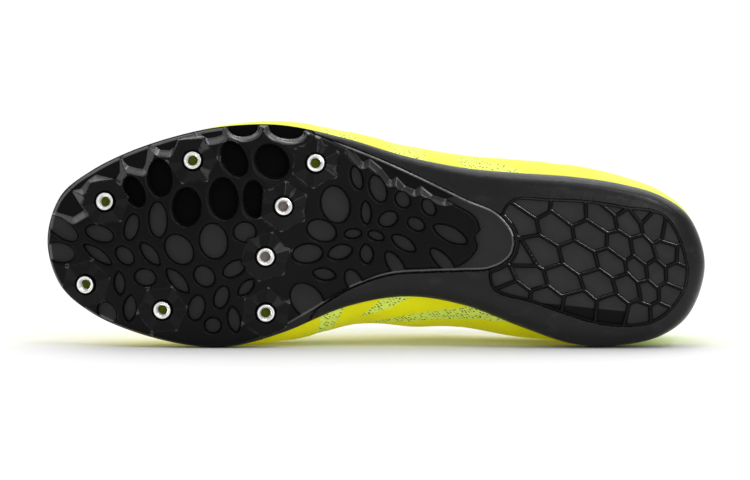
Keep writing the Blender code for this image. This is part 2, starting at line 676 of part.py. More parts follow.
# Spike sockets: turned steel cups, open at the tread.
SOCKET_PROFILE = [
    (0.0, SOCKET_LENGTH - SOCKET_FLOOR),
    (SOCKET_BORE, SOCKET_LENGTH - SOCKET_FLOOR),
    (SOCKET_BORE, 0.0),
    (SOCKET_RADIUS, 0.0),
    (SOCKET_RADIUS, SOCKET_LENGTH),
    (0.0, SOCKET_LENGTH),
]
for number, spike in enumerate(SPIKES, start=1):
    middle = from_inner_line(spike)
    mesh = bpy.data.meshes.new("spike_socket")
    spots = [(radius, 0.0, height) for radius, height in SOCKET_PROFILE]
    mesh.from_pydata(spots, [(i, i + 1) for i in range(len(spots) - 1)], [])
    socket = add_object("spike_socket_" + str(number), mesh, parts, "bright_steel")
    turned = socket.modifiers.new("turned", "SCREW")
    turned.steps = 12
    turned.render_steps = 12
    turned.use_merge_vertices = True
    turned.merge_threshold = 0.01 * MM
    turned.use_normal_flip = True
    placed = tread_frame(middle.x, middle.y, -BOSS_PROUD - SOCKET_PROUD)
    socket.location = placed.to_translation()
    socket.rotation_euler = placed.to_euler()

# Heel pad: a thin rubber sheet with ribs round sunk cells, deeper along its inner edge.
pad_side_outer = [share_point(row) for row in PAD_EDGE[:8]]
pad_side_inner = [share_point(row) for row in [PAD_EDGE[0]] + PAD_EDGE[:6:-1]]
pad_outer = smooth_side(pad_side_outer, 11)
pad_inner = smooth_side(pad_side_inner, 11)
pad_outline = pad_outer + pad_inner[-2:0:-1]
PAD_INNER_KNOTS = [p.x for p in pad_inner[3:]]
PAD_INNER_ROWS = [p.y for p in pad_inner[3:]]


def cell_floor(x, y):
    """Height of the cells' floors, which fall away towards the pad's inner edge."""
    edge = float(np.interp(x, PAD_INNER_KNOTS, PAD_INNER_ROWS))
    share = 1.0 - (y - edge) / CELL_FALL_WIDTH
    fall = CELL_FALL * min(max(share, 0.0), 1.0) ** 2
    return tread_height(x, y) + min(CELL_DEPTH + fall, PAD_HIGH - PAD_SHEET)


def clipped(polygon, middle, other):
    """The part of a polygon that lies nearer to one point than to another."""
    away = other - middle
    limit = away.dot(0.5 * (middle + other)) - 0.5 * CELL_RIB * away.length
    kept = []
    for here, after in zip(polygon, polygon[1:] + polygon[:1]):
        side, following = away.dot(here) - limit, away.dot(after) - limit
        if side <= 0:
            kept.append(here)
        if side * following < 0:
            kept.append(here.lerp(after, side / (side - following)))
    return kept


def cell_outlines():
    """Many-sided cells round their middles, with a rib between neighbours."""
    middles = [from_inner_line(row) for row in CELLS]
    reach = 14 * MM
    outlines = []
    for middle in middles:
        polygon = [middle + Vector((reach * dx, reach * dy))
                   for dx, dy in ((-1, -1), (1, -1), (1, 1), (-1, 1))]
        for other in middles:
            if other is not middle:
                polygon = clipped(polygon, middle, other)
        outlines.append(polygon)
    return outlines


tail_cut = add_object(
    "tail_cut",
    slab(moved_out(plate_outline, lambda spot: 1.0 * MM), 2, lambda x, y: -20 * MM,
         lambda x, y: 60 * MM),
    cutters,
)
pad = add_object("heel_pad", slab(pad_outline, 4, tread_layer(0.0), tread_layer(PAD_HIGH)),
                 parts, "black_rubber")
pad_cells = add_object(
    "pad_cells",
    slab(moved_out(pad_outline, lambda spot: -0.6 * CELL_RIB), 5, lambda x, y: -20 * MM, cell_floor),
    cutters,
)
cell_prisms = prisms("cell_prisms", cell_outlines(), -40 * MM, 60 * MM)
tail_rib = add_object(
    "tail_rib",
    slab(moved_out(plate_outline, lambda spot: 1.0 * MM + 0.7 * CELL_RIB), 2, lambda x, y: -30 * MM,
         lambda x, y: 60 * MM),
    cutters,
)
boolean(pad_cells, cell_prisms, "INTERSECT")
boolean(pad_cells, tail_rib, "DIFFERENCE")
boolean(pad, pad_cells, "DIFFERENCE")
boolean(pad, tail_cut, "DIFFERENCE")
pad_seat = add_object(
    "pad_seat",
    slab(moved_out(pad_outline, lambda spot: 0.5 * MM), 4, lambda x, y: -20 * MM,
         tread_layer(PAD_SEAT)),
    cutters,
)
boolean(midsole, pad_seat, "DIFFERENCE")

# Upper: one shell from the sole's edge to the collar and the throat.
upper_mesh = bpy.data.meshes.new("upper")
upper_work = bmesh.new()
grid = []
for row in range(WALL_STEPS + 1):
    grid.append([upper_work.verts.new(wall_point(u, row / WALL_STEPS)) for u in sole_steps])
for low, high in zip(grid, grid[1:]):
    for step in range(LOOP_STEPS):
        following = (step + 1) % LOOP_STEPS
        upper_work.faces.new((low[step], high[step], high[following], low[following]))
upper_work.to_mesh(upper_mesh)
upper_work.free()
upper = add_object("upper", upper_mesh, parts, "neon_upper")
padding = upper.vertex_groups.new(name="padding")
for row in range(WALL_STEPS + 1):
    for step, u in enumerate(sole_steps):
        section = min(u, LOOP_LENGTH - u)
        collar = min(max((5.6 - section) / 2.0, 0.0), 1.0)
        raised = min(max((row / WALL_STEPS - 0.55) / 0.3, 0.0), 1.0)
        wall = UPPER_WALL + (COLLAR_WALL - UPPER_WALL) * collar * raised
        padding.add([row * LOOP_STEPS + step], wall / COLLAR_WALL, "REPLACE")
shell = upper.modifiers.new("wall", "SOLIDIFY")
shell.thickness = COLLAR_WALL
shell.offset = -1.0
shell.vertex_group = "padding"
shell.use_even_offset = False

# Insole: a thin board that lies on the midsole inside the upper.
insole_outline = [edge_point(u, FEATHER_INSET + UPPER_WALL + 1.2 * MM) for u in sole_steps]
insole = add_object(
    "insole",
    slab(insole_outline, 4, lambda x, y: bed_height(x, y) + FIT_GAP,
         lambda x, y: bed_height(x, y) + FIT_GAP + INSOLE_THICKNESS),
    parts, "grey_lining",
)


def tongue_row(section):
    """Points across the tongue, just under the upper's two throat edges."""
    sides = []
    for u in (LOOP_LENGTH - section, section):
        side = []
        for v in (0.80, 0.90, 1.0):
            inside = UPPER_WALL + 3 * FIT_GAP
            side.append(wall_point(u, v) - inside * wall_normal(u, v))
        sides.append(side)
    left, right = sides[0], sides[1][::-1]
    arch = 1.5 * MM * min(max((10.4 - section) / 2.0, 0.0), 1.0)
    between = []
    for share in (0.25, 0.5, 0.75):
        spot = left[-1].lerp(right[0], share)
        spot.z += arch * 4 * share * (1 - share)
        between.append(spot)
    return left + between + right


def slid(row, direction, narrow, lower):
    """A tongue row moved along, drawn in towards its middle and lowered."""
    middle = row[len(row) // 2]
    return [middle + direction + narrow * (spot - middle) - Vector((0, 0, lower)) for spot in row]


tongue_rows = [tongue_row(section) for section in TONGUE_ROWS]
front_way = (tongue_rows[0][4] - tongue_rows[1][4]).normalized() * TONGUE_FRONT_REACH
top_way = (tongue_rows[-1][4] - tongue_rows[-2][4]).normalized() * TONGUE_TOP_REACH
tongue_rows.insert(0, slid(tongue_rows[0], front_way, 0.75, 1.2 * MM))
tongue_rows.append(slid(tongue_rows[-1], 0.35 * top_way, 0.64, 0.0))
tongue_rows.append(slid(tongue_rows[-2], top_way, 0.56, -3.0 * MM))
tongue_work = bmesh.new()
tongue_grid = [[tongue_work.verts.new(spot) for spot in row] for row in tongue_rows]
for low, high in zip(tongue_grid, tongue_grid[1:]):
    for column in range(len(low) - 1):
        tongue_work.faces.new((low[column], low[column + 1], high[column + 1], high[column]))
tongue_mesh = bpy.data.meshes.new("tongue")
tongue_work.to_mesh(tongue_mesh)
tongue_work.free()
tongue = add_object("tongue", tongue_mesh, parts, "grey_lining")
padded = tongue.modifiers.new("padding", "SOLIDIFY")
padded.thickness = TONGUE_THICKNESS
padded.offset = -1.0

# Laces: a bar across the lowest eyelets, then crossings up to the top eyelets.


def eyelet(side, row):
    """Where the lace leaves an eyelet, clear of the upper."""
    u = LACE_ROWS[row] if side > 0 else LOOP_LENGTH - LACE_ROWS[row]
    lift = LACE_RADIUS + LACE_CLEARANCE
    return wall_point(u, EYELET_SHARE) + lift * wall_normal(u, EYELET_SHARE)


def throat_edge(side, row):
    """Where the lace passes over the edge of the throat."""
    u = LACE_ROWS[row] if side > 0 else LOOP_LENGTH - LACE_ROWS[row]
    return wall_point(u, 1.0) + (LACE_RADIUS + 2 * LACE_CLEARANCE) * wall_normal(u, 0.97)


def lace_mesh(path):
    """A round cord along a path."""
    curve = bpy.data.curves.new("cord", "CURVE")
    curve.dimensions = "3D"
    curve.bevel_depth = LACE_RADIUS
    curve.bevel_resolution = 1
    curve.use_fill_caps = True
    line = curve.splines.new("POLY")
    line.points.add(len(path) - 1)
    for point, spot in zip(line.points, path):
        point.co = (*spot, 1.0)
    holder = bpy.data.objects.new("cord", curve)
    mesh = bpy.data.meshes.new_from_object(holder)
    bpy.data.objects.remove(holder)
    work = bmesh.new()
    work.from_mesh(mesh)
    bmesh.ops.remove_doubles(work, verts=work.verts, dist=0.01 * MM)
    bmesh.ops.recalc_face_normals(work, faces=work.faces)
    work.to_mesh(mesh)
    work.free()
    return mesh


def crossing_path(side):
    """One lace end, zigzag from the lowest to the top eyelet."""
    path = []
    for row in range(len(LACE_ROWS)):
        here = side if row % 2 == 0 else -side
        path.append(throat_edge(here, row))
        if row > 0:
            path.append(eyelet(here, row))
        if 0 < row < len(LACE_ROWS) - 1:
            path.append(throat_edge(here, row).lerp(throat_edge(here, row + 1), 0.35))
    return path


laces = add_object("laces", lace_mesh(crossing_path(1)), parts, "black_lace")
second_end = add_object("second_end", lace_mesh(crossing_path(-1)), cutters)
lowest_bar = add_object(
    "lowest_bar",
    lace_mesh([eyelet(-1, 0), throat_edge(-1, 0), throat_edge(1, 0), eyelet(1, 0)]),
    cutters,
)
boolean(laces, second_end, "UNION")
boolean(laces, lowest_bar, "UNION")

# Lay the shoe on its inner side: find the flat of its hull below its centre of mass.


def finished(item):
    """The object's mesh with its modifiers, in the shoe's frame."""
    graph = bpy.context.evaluated_depsgraph_get()
    work = bmesh.new()
    work.from_object(item, graph)
    bmesh.ops.transform(work, matrix=item.matrix_world, verts=work.verts)
    bmesh.ops.triangulate(work, faces=work.faces)
    return work


bpy.context.view_layer.update()
all_points = []
weight = 0.0
moment = Vector()
for item in parts.objects:
    body = finished(item)
    density = FINISHES[item.data.materials[0].name].density
    all_points.extend(vert.co.copy() for vert in body.verts)
    for face in body.faces:
        a, b, c = (vert.co for vert in face.verts)
        volume = density * a.dot(b.cross(c)) / 6
        weight += volume
        moment += volume * (a + b + c) / 4
    body.free()
balance = moment / weight

hull = bmesh.new()
for spot in all_points:
    hull.verts.new(spot)
bmesh.ops.convex_hull(hull, input=hull.verts)
inner_side = Vector((0, -1, 0))


def under_balance(face):
    """Whether the line from the balance point along the face's normal meets the face."""
    foot = balance + face.normal * face.normal.dot(face.verts[0].co - balance)
    corners = [vert.co for vert in face.verts]
    return all((b - a).cross(foot - a).dot(face.normal) >= 0
               for a, b in zip(corners, corners[1:] + corners[:1]))


hull.normal_update()
resting = [face for face in hull.faces
           if len(face.verts) == 3 and face.normal.dot(inner_side) > 0.9 and under_balance(face)]
floor_face = max(resting, key=lambda face: face.normal.dot(inner_side))
lay_down = Vector(floor_face.normal).rotation_difference(Vector((0, 0, -1))).to_matrix()
hull.free()
toe_way = lay_down @ Vector((1, 0, 0))
spin = Matrix.Rotation(math.pi - math.atan2(toe_way.y, toe_way.x), 3, "Z")
lay_down = spin @ lay_down
laid = np.array([tuple(lay_down @ spot) for spot in all_points])
low, high = laid.min(axis=0), laid.max(axis=0)

holder = bpy.data.objects.new("shoe_on_its_side", None)
parts.objects.link(holder)
holder.rotation_euler = lay_down.to_euler()
holder.location = (-0.5 * (low[0] + high[0]), -0.5 * (low[1] + high[1]), -low[2])
for item in list(parts.objects) + list(cutters.objects):
    if item is not holder:
        item.parent = holder
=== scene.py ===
"""Looks of a left training shoe for the track that lies on its inner side.

Shapes are worked out in the shoe's own frame, in metres: x from heel to toe, y to the outer
side, z up from the tread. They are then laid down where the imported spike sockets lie.
"""

import math
from collections import namedtuple

import bmesh
import bpy
import numpy as np
from mathutils import Matrix, Vector
from mathutils.geometry import delaunay_2d_cdt
from mathutils.kdtree import KDTree


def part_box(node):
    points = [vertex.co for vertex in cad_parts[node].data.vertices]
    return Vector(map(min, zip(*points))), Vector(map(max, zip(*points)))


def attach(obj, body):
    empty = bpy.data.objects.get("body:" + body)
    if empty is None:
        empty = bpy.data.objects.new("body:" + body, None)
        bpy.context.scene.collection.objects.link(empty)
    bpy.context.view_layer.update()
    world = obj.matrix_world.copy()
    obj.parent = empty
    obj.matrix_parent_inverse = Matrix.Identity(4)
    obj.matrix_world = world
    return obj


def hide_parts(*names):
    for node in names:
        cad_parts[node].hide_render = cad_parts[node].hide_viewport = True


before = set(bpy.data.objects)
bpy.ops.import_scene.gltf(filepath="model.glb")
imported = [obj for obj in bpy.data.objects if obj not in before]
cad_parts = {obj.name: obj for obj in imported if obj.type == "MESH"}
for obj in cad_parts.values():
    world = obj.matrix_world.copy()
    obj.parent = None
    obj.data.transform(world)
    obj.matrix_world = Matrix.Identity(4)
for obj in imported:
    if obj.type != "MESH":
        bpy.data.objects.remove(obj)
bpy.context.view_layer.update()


# Spike sockets: eight turned steel cups, moulded into the plate so that only a bright rim
# and a threaded bore show. Through six of the bores the board above the plate can be seen,
# coloured a dark olive: the yellow board with painted shade. Two are closed by a bare steel plug.
MM = 0.001
SOLE_LENGTH = 285 * MM
BALL_WIDTH = 96 * MM
INNER_LINE = -0.434 * BALL_WIDTH
FIT_GAP = 0.3 * MM
WEB_HEIGHT = 2.6 * MM
BOSS_PROUD = 0.9 * MM
SOCKET_RADIUS = 4.1 * MM
SOCKET_BORE = 2.45 * MM
SOCKET_PROUD = 0.15 * MM
SOCKET_LENGTH = 4.6 * MM
SOCKET_STEPS = 48
SOCKET_RIM = 3.71 * MM
BORE_DEPTH = 3.5 * MM
BORE_FLOOR = 4.0 * MM
THREAD_DEPTH = 0.22 * MM
THREAD_TURNS = 5
THREAD_PITCH = 0.55 * MM
THREAD_FLANK = 0.27 * MM
FLANGE_DEPTH = 0.34 * MM
STEEL_COLOUR = (0.93, 0.93, 0.91)
SHADED_BOARD_COLOUR = (0.12, 0.15, 0.002)
FLANGE_BLACK = (0.004, 0.004, 0.004)
PLUG_COLOUR = (0.24, 0.20, 0.19)

# The cup's turned line below its thread and round its rim, in millimetres.
Turned = namedtuple("Turned", "radius depth")
CUP_BOTTOM = [Turned(0.0, 3.9), Turned(2.1, 3.7)]
CUP_RIM = [
    Turned(2.5, 0.6), Turned(2.72, 0.3), Turned(2.9, 0.07), Turned(3.05, 0.0), Turned(3.5, 0.0),
    Turned(3.62, 0.05), Turned(3.69, 0.16), Turned(3.72, 0.3),
]

# The sole's edge, in shares of the sole length and of the ball width.
SoleEdge = namedtuple("SoleEdge", "along inner outer")
SOLE_EDGE = [
    SoleEdge(0.000, -0.068, -0.068),
    SoleEdge(0.021, -0.276, 0.135),
    SoleEdge(0.067, -0.388, 0.243),
    SoleEdge(0.133, -0.430, 0.300),
    SoleEdge(0.204, -0.421, 0.331),
    SoleEdge(0.281, -0.344, 0.348),
    SoleEdge(0.368, -0.246, 0.373),
    SoleEdge(0.456, -0.208, 0.427),
    SoleEdge(0.547, -0.255, 0.508),
    SoleEdge(0.639, -0.366, 0.566),
    SoleEdge(0.719, -0.429, 0.565),
    SoleEdge(0.789, -0.422, 0.529),
    SoleEdge(0.867, -0.366, 0.456),
    SoleEdge(0.933, -0.280, 0.360),
    SoleEdge(0.981, -0.154, 0.240),
    SoleEdge(1.000, 0.042, 0.042),
]

# The sole from the side: heights in millimetres of the tread and of the midsole's top, and
# how much the tread curves up at its two edges.
Profile = namedtuple("Profile", "along tread bed crown")
PROFILES = [
    Profile(0.00, 4.5, 19.5, 0.0),
    Profile(0.03, 1.6, 19.2, 0.0),
    Profile(0.07, 0.2, 18.8, 0.0),
    Profile(0.10, 0.0, 18.4, 0.0),
    Profile(0.12, 0.0, 18.1, 0.0),
    Profile(0.22, 0.0, 16.8, 0.0),
    Profile(0.24, 0.0, 16.5, 0.0),
    Profile(0.29, 0.4, 16.0, 0.0),
    Profile(0.34, 1.5, 15.4, 0.3),
    Profile(0.42, 3.6, 14.5, 1.0),
    Profile(0.51, 4.6, 13.4, 2.0),
    Profile(0.60, 3.2, 12.5, 3.0),
    Profile(0.67, 1.2, 11.9, 3.5),
    Profile(0.72, 0.8, 11.8, 3.5),
    Profile(0.78, 1.4, 12.3, 3.5),
    Profile(0.85, 4.2, 14.6, 3.5),
    Profile(0.93, 8.8, 18.9, 3.0),
    Profile(1.00, 14.5, 24.6, 2.5),
]

# Centres of the sockets, in millimetres from the heel and from the inner line. Turn is that
# of the boss round the socket.
Spike = namedtuple("Spike", "along across turn plugged")
SPIKES = [
    Spike(259.4, 63.3, 20, False),
    Spike(221.3, 81.1, 25, False),
    Spike(168.3, 79.8, 5, False),
    Spike(182.2, 61.2, 5, True),
    Spike(190.0, 39.5, 15, True),
    Spike(190.0, 15.2, 5, False),
    Spike(234.7, 16.5, 25, False),
    Spike(268.1, 27.3, 15, False),
]


def curve_through(knots, values, at):
    """A smooth curve through table values, with slopes taken from the neighbours."""
    knots = np.asarray(knots, dtype=float)
    values = np.asarray(values, dtype=float)
    at = np.asarray(at, dtype=float)
    slopes = np.gradient(values, knots, axis=0)
    left = np.clip(np.searchsorted(knots, at) - 1, 0, len(knots) - 2)
    span = knots[left + 1] - knots[left]
    t = np.clip((at - knots[left]) / span, 0.0, 1.0)
    if values.ndim > 1:
        span = span[..., None]
        t = t[..., None]
    start = (1 + 2 * t) * (1 - t) ** 2 * values[left] + t * (1 - t) ** 2 * span * slopes[left]
    stop = t * t * (3 - 2 * t) * values[left + 1] + t * t * (t - 1) * span * slopes[left + 1]
    return start + stop


PROFILE_KNOTS = [row.along * SOLE_LENGTH for row in PROFILES]
PROFILE_ROWS = [(row.tread * MM, row.bed * MM, row.crown * MM) for row in PROFILES]
EDGE_KNOTS = [row.along * SOLE_LENGTH for row in SOLE_EDGE]
EDGE_ROWS = [(row.inner * BALL_WIDTH, row.outer * BALL_WIDTH) for row in SOLE_EDGE]


def tread_height(x, y):
    """Height of the tread surface, with its crown across the sole."""
    profile = curve_through(PROFILE_KNOTS, PROFILE_ROWS, x)
    inner, outer = np.moveaxis(curve_through(EDGE_KNOTS, EDGE_ROWS, x), -1, 0)
    half = np.maximum(0.5 * (outer - inner), 0.25 * BALL_WIDTH)
    share = (y - 0.5 * (outer + inner)) / half
    return profile[..., 0] + profile[..., 2] * np.minimum(share * share, 1.2)


def tread_frame(x, y, depth):
    """Placement on the tread: z runs into the sole along the surface normal."""
    step = 0.5 * MM
    slope_x = (tread_height(x + step, y) - tread_height(x - step, y)) / (2 * step)
    slope_y = (tread_height(x, y + step) - tread_height(x, y - step)) / (2 * step)
    inward = Vector((-slope_x, -slope_y, 1.0)).normalized()
    spot = Vector((x, y, tread_height(x, y))) + depth * inward
    turn = Vector((0, 0, 1)).rotation_difference(inward).to_matrix().to_4x4()
    return Matrix.Translation(spot) @ turn


def from_inner_line(row):
    """Plan position of a row measured from the heel and from the inner line."""
    return np.array((row.along * MM, INNER_LINE + row.across * MM))


def laid_shoe():
    """The turn and shift that bring the sockets from the shoe's frame to where they lie."""
    middle = 0.5 * SOCKET_LENGTH - BOSS_PROUD - SOCKET_PROUD
    own = np.array([tread_frame(*from_inner_line(row), middle).to_translation() for row in SPIKES])
    packed = np.array([0.5 * sum(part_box(f"spike_socket_{number}"), Vector())
                       for number in range(1, len(SPIKES) + 1)])
    left, _, right = np.linalg.svd((own - own.mean(0)).T @ (packed - packed.mean(0)))
    mirror = np.diag((1, 1, np.linalg.det(left @ right)))
    turn = (left @ mirror @ right).T
    shift = packed.mean(0) - turn @ own.mean(0)
    return Matrix.Translation(shift) @ Matrix(turn).to_4x4()


SHOE = laid_shoe()


def toned(colour, tone):
    """A colour made darker or lighter."""
    return tuple(tone * part for part in colour)


class Shade:
    """A socket of a material, with arithmetic that adds Math nodes."""

    def __init__(self, tree, socket=None):
        self.tree = tree
        self.socket = socket

    def node(self, kind, settings, inputs, output=0):
        """Any node: its settings first, then the values or links of its sockets."""
        made = self.tree.nodes.new("ShaderNode" + kind)
        for name, setting in settings.items():
            setattr(made, name, setting)
        for name, value in inputs.items():
            if isinstance(value, Shade):
                self.tree.links.new(value.socket, made.inputs[name])
            else:
                made.inputs[name].default_value = value
        return Shade(self.tree, made.outputs[output])

    def math(self, operation, *values):
        return self.node("Math", {"operation": operation}, dict(enumerate(values)))

    def __add__(self, other):
        return self.math("ADD", self, other)

    def __sub__(self, other):
        return self.math("SUBTRACT", self, other)

    def __rsub__(self, other):
        return self.math("SUBTRACT", other, self)

    def __mul__(self, other):
        return self.math("MULTIPLY", self, other)

    __radd__ = __add__
    __rmul__ = __mul__

    def step(self, low, high):
        """0 below low and 1 above high, with a smooth change between."""
        return self.node("MapRange", {"interpolation_type": "SMOOTHSTEP"},
                         {"Value": self, "From Min": low, "From Max": high})

    def mix(self, first, second):
        """A colour that goes from the first to the second as this value goes from 0 to 1."""
        colours = [(*c, 1.0) if isinstance(c, tuple) else c for c in (first, second)]
        return self.node("Mix", {"data_type": "RGBA"},
                         {0: self, 6: colours[0], 7: colours[1]}, output=2)

    def vary(self, colour, low, high=1.0):
        """A colour that goes between two tones of itself as this value goes from 0 to 1."""
        return self.mix(toned(colour, low), toned(colour, high))

    def noise(self, size, detail=2.0, stretch=(1.0, 1.0, 1.0)):
        """Cloudy values from 0 to 1 in the object's own space, with features of one size."""
        place = self.node("TexCoord", {}, {}, output=3)
        scaled = self.node("Mapping", {}, {"Vector": place, "Scale": stretch})
        return self.node("TexNoise", {}, {"Vector": scaled, "Scale": 1.0 / size, "Detail": detail})

    def attribute(self, name):
        """A value that the mesh carries at its points."""
        return self.node("Attribute", {"attribute_name": name}, {}, output=2)

    def bump(self, height, distance, strength=1.0):
        """A normal from a height between 0 and 1."""
        return self.node("Bump", {}, {"Height": height, "Distance": distance, "Strength": strength})

    def feed(self, **links):
        """Link values to the Principled shader, by its socket names with _ for a space."""
        shader = self.tree.nodes["Principled BSDF"]
        for name, value in links.items():
            self.tree.links.new(value.socket, shader.inputs[name.replace("_", " ")])


def new_finish(name, **constants):
    """A material with the values that are the same all over it."""
    material = bpy.data.materials.new(name)
    material.use_nodes = True
    shader = material.node_tree.nodes["Principled BSDF"]
    for socket, value in constants.items():
        value = (*value, 1.0) if isinstance(value, tuple) else value
        shader.inputs[socket.replace("_", " ")].default_value = value
    return material, Shade(material.node_tree)


def add_piece(name, mesh, slot, nodes, *materials):
    """Link a mesh in the shoe's frame as a piece that stands for CAD nodes."""
    mesh.transform(SHOE)
    for material in materials:
        mesh.materials.append(material)
    mesh.shade_smooth()
    piece = bpy.data.objects.new(name, mesh)
    bpy.context.scene.collection.objects.link(piece)
    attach(piece, "root")
    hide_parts(*nodes)
    return piece


def socket_profile():
    """Radius and depth along the cup, from the bottom of its bore round to its back."""
    rows = [(row.radius * MM, row.depth * MM) for row in CUP_BOTTOM]
    for turn in range(THREAD_TURNS):
        depth = BORE_DEPTH - 0.1 * MM - THREAD_PITCH * turn
        rows += [(SOCKET_BORE, depth), (SOCKET_BORE - THREAD_DEPTH, depth - THREAD_FLANK)]
    rows += [(row.radius * MM, row.depth * MM) for row in CUP_RIM]
    rows += [(SOCKET_RADIUS, FLANGE_DEPTH), (SOCKET_RADIUS, SOCKET_LENGTH), (0.0, SOCKET_LENGTH)]
    return [Vector((radius, 0.0, depth)) for radius, depth in rows]


def socket_mesh(place):
    """One cup, turned round its axis, with other materials at its bore's bottom and its flange."""
    work = bmesh.new()
    line = [work.verts.new(spot) for spot in socket_profile()]
    edges = [work.edges.new(pair) for pair in zip(line, line[1:])]
    bmesh.ops.spin(work, geom=line + edges, axis=(0, 0, 1), cent=(0, 0, 0), steps=SOCKET_STEPS,
                   angle=2 * math.pi)
    bmesh.ops.remove_doubles(work, verts=work.verts, dist=0.01 * MM)
    bmesh.ops.recalc_face_normals(work, faces=work.faces)
    for face in work.faces:
        spot = face.calc_center_median()
        if BORE_DEPTH < spot.z < BORE_FLOOR and spot.xy.length < SOCKET_BORE:
            face.material_index = 1
        elif spot.xy.length > SOCKET_RIM:
            face.material_index = 2
    bmesh.ops.transform(work, matrix=place, verts=work.verts)
    mesh = bpy.data.meshes.new("spike_socket")
    work.to_mesh(mesh)
    work.free()
    return mesh


steel, shade = new_finish("bright_steel", Metallic=0.85)
turning = shade.noise(0.7 * MM, 3.0)
shade.feed(Base_Color=turning.step(0.3, 0.7).vary(STEEL_COLOUR, 0.9),
           Roughness=0.12 + 0.14 * turning, Normal=shade.bump(turning, 0.02 * MM))
# The board at the bores' bottom is coloured a dark olive: the yellow board with painted shade.
board, shade = new_finish("yellow_board_painted_shade", Roughness=0.6, Specular_IOR_Level=0.1)
fibres = shade.noise(0.5 * MM)
shade.feed(Base_Color=fibres.vary(SHADED_BOARD_COLOUR, 0.6))
plug, shade = new_finish("steel_plug", Metallic=0.7)
scratches = shade.noise(0.6 * MM)
shade.feed(Base_Color=scratches.vary(PLUG_COLOUR, 0.5),
           Roughness=0.3 + 0.3 * scratches)

# The flange outside the rim is coloured black, as dark as the web round it.
flange_finish, shade = new_finish("black_flange", Base_Color=FLANGE_BLACK, Specular_IOR_Level=0.09)
shade.feed(Roughness=0.25 + 0.2 * shade.noise(0.5 * MM))

for number, spike in enumerate(SPIKES, start=1):
    placed = tread_frame(*from_inner_line(spike), -BOSS_PROUD - SOCKET_PROUD)
    bottom = plug if spike.plugged else board
    socket = add_piece(f"socket_{number}", socket_mesh(placed), "bright_steel",
                       [f"spike_socket_{number}"], steel, bottom, flange_finish)
    socket.data.set_sharp_from_angle(angle=math.radians(50))


# Spike plate: a thin stiff sheet of charcoal plastic, moulded to the forefoot's outline and
# narrowing to a round tail under the waist. It is bonded into a recess of the midsole.
PLATE_LOW = WEB_HEIGHT + FIT_GAP
PLATE_HIGH = PLATE_LOW + 1.2 * MM
PLATE_INSET = 0.5 * MM
PLATE_EDGE_ROUND = 0.45 * MM
PLATE_COLOUR = (0.0225, 0.022, 0.0235)
PLATE_RIM = 1.1 * MM
RIM_LIGHT_COLOUR = (0.060, 0.059, 0.061)
PLATE_FIRST_FULL_SECTION = 9
LAST = len(SOLE_EDGE) - 1
LOOP_LENGTH = 2 * LAST

# The tail's two sides, in shares of the sole length and of the ball width.
Share = namedtuple("Share", "along across")
PLATE_TAIL_TIP = Share(0.2893, 0.032)
PLATE_OUTER_TAIL = [
    Share(0.291, 0.072),
    Share(0.312, 0.161),
    Share(0.362, 0.232),
    Share(0.438, 0.341),
    Share(0.506, 0.431),
    Share(0.575, 0.506),
]
PLATE_INNER_TAIL = [
    Share(0.294, -0.015),
    Share(0.308, -0.056),
    Share(0.327, -0.080),
    Share(0.368, -0.089),
    Share(0.421, -0.095),
    Share(0.477, -0.107),
    Share(0.537, -0.167),
    Share(0.607, -0.288),
]

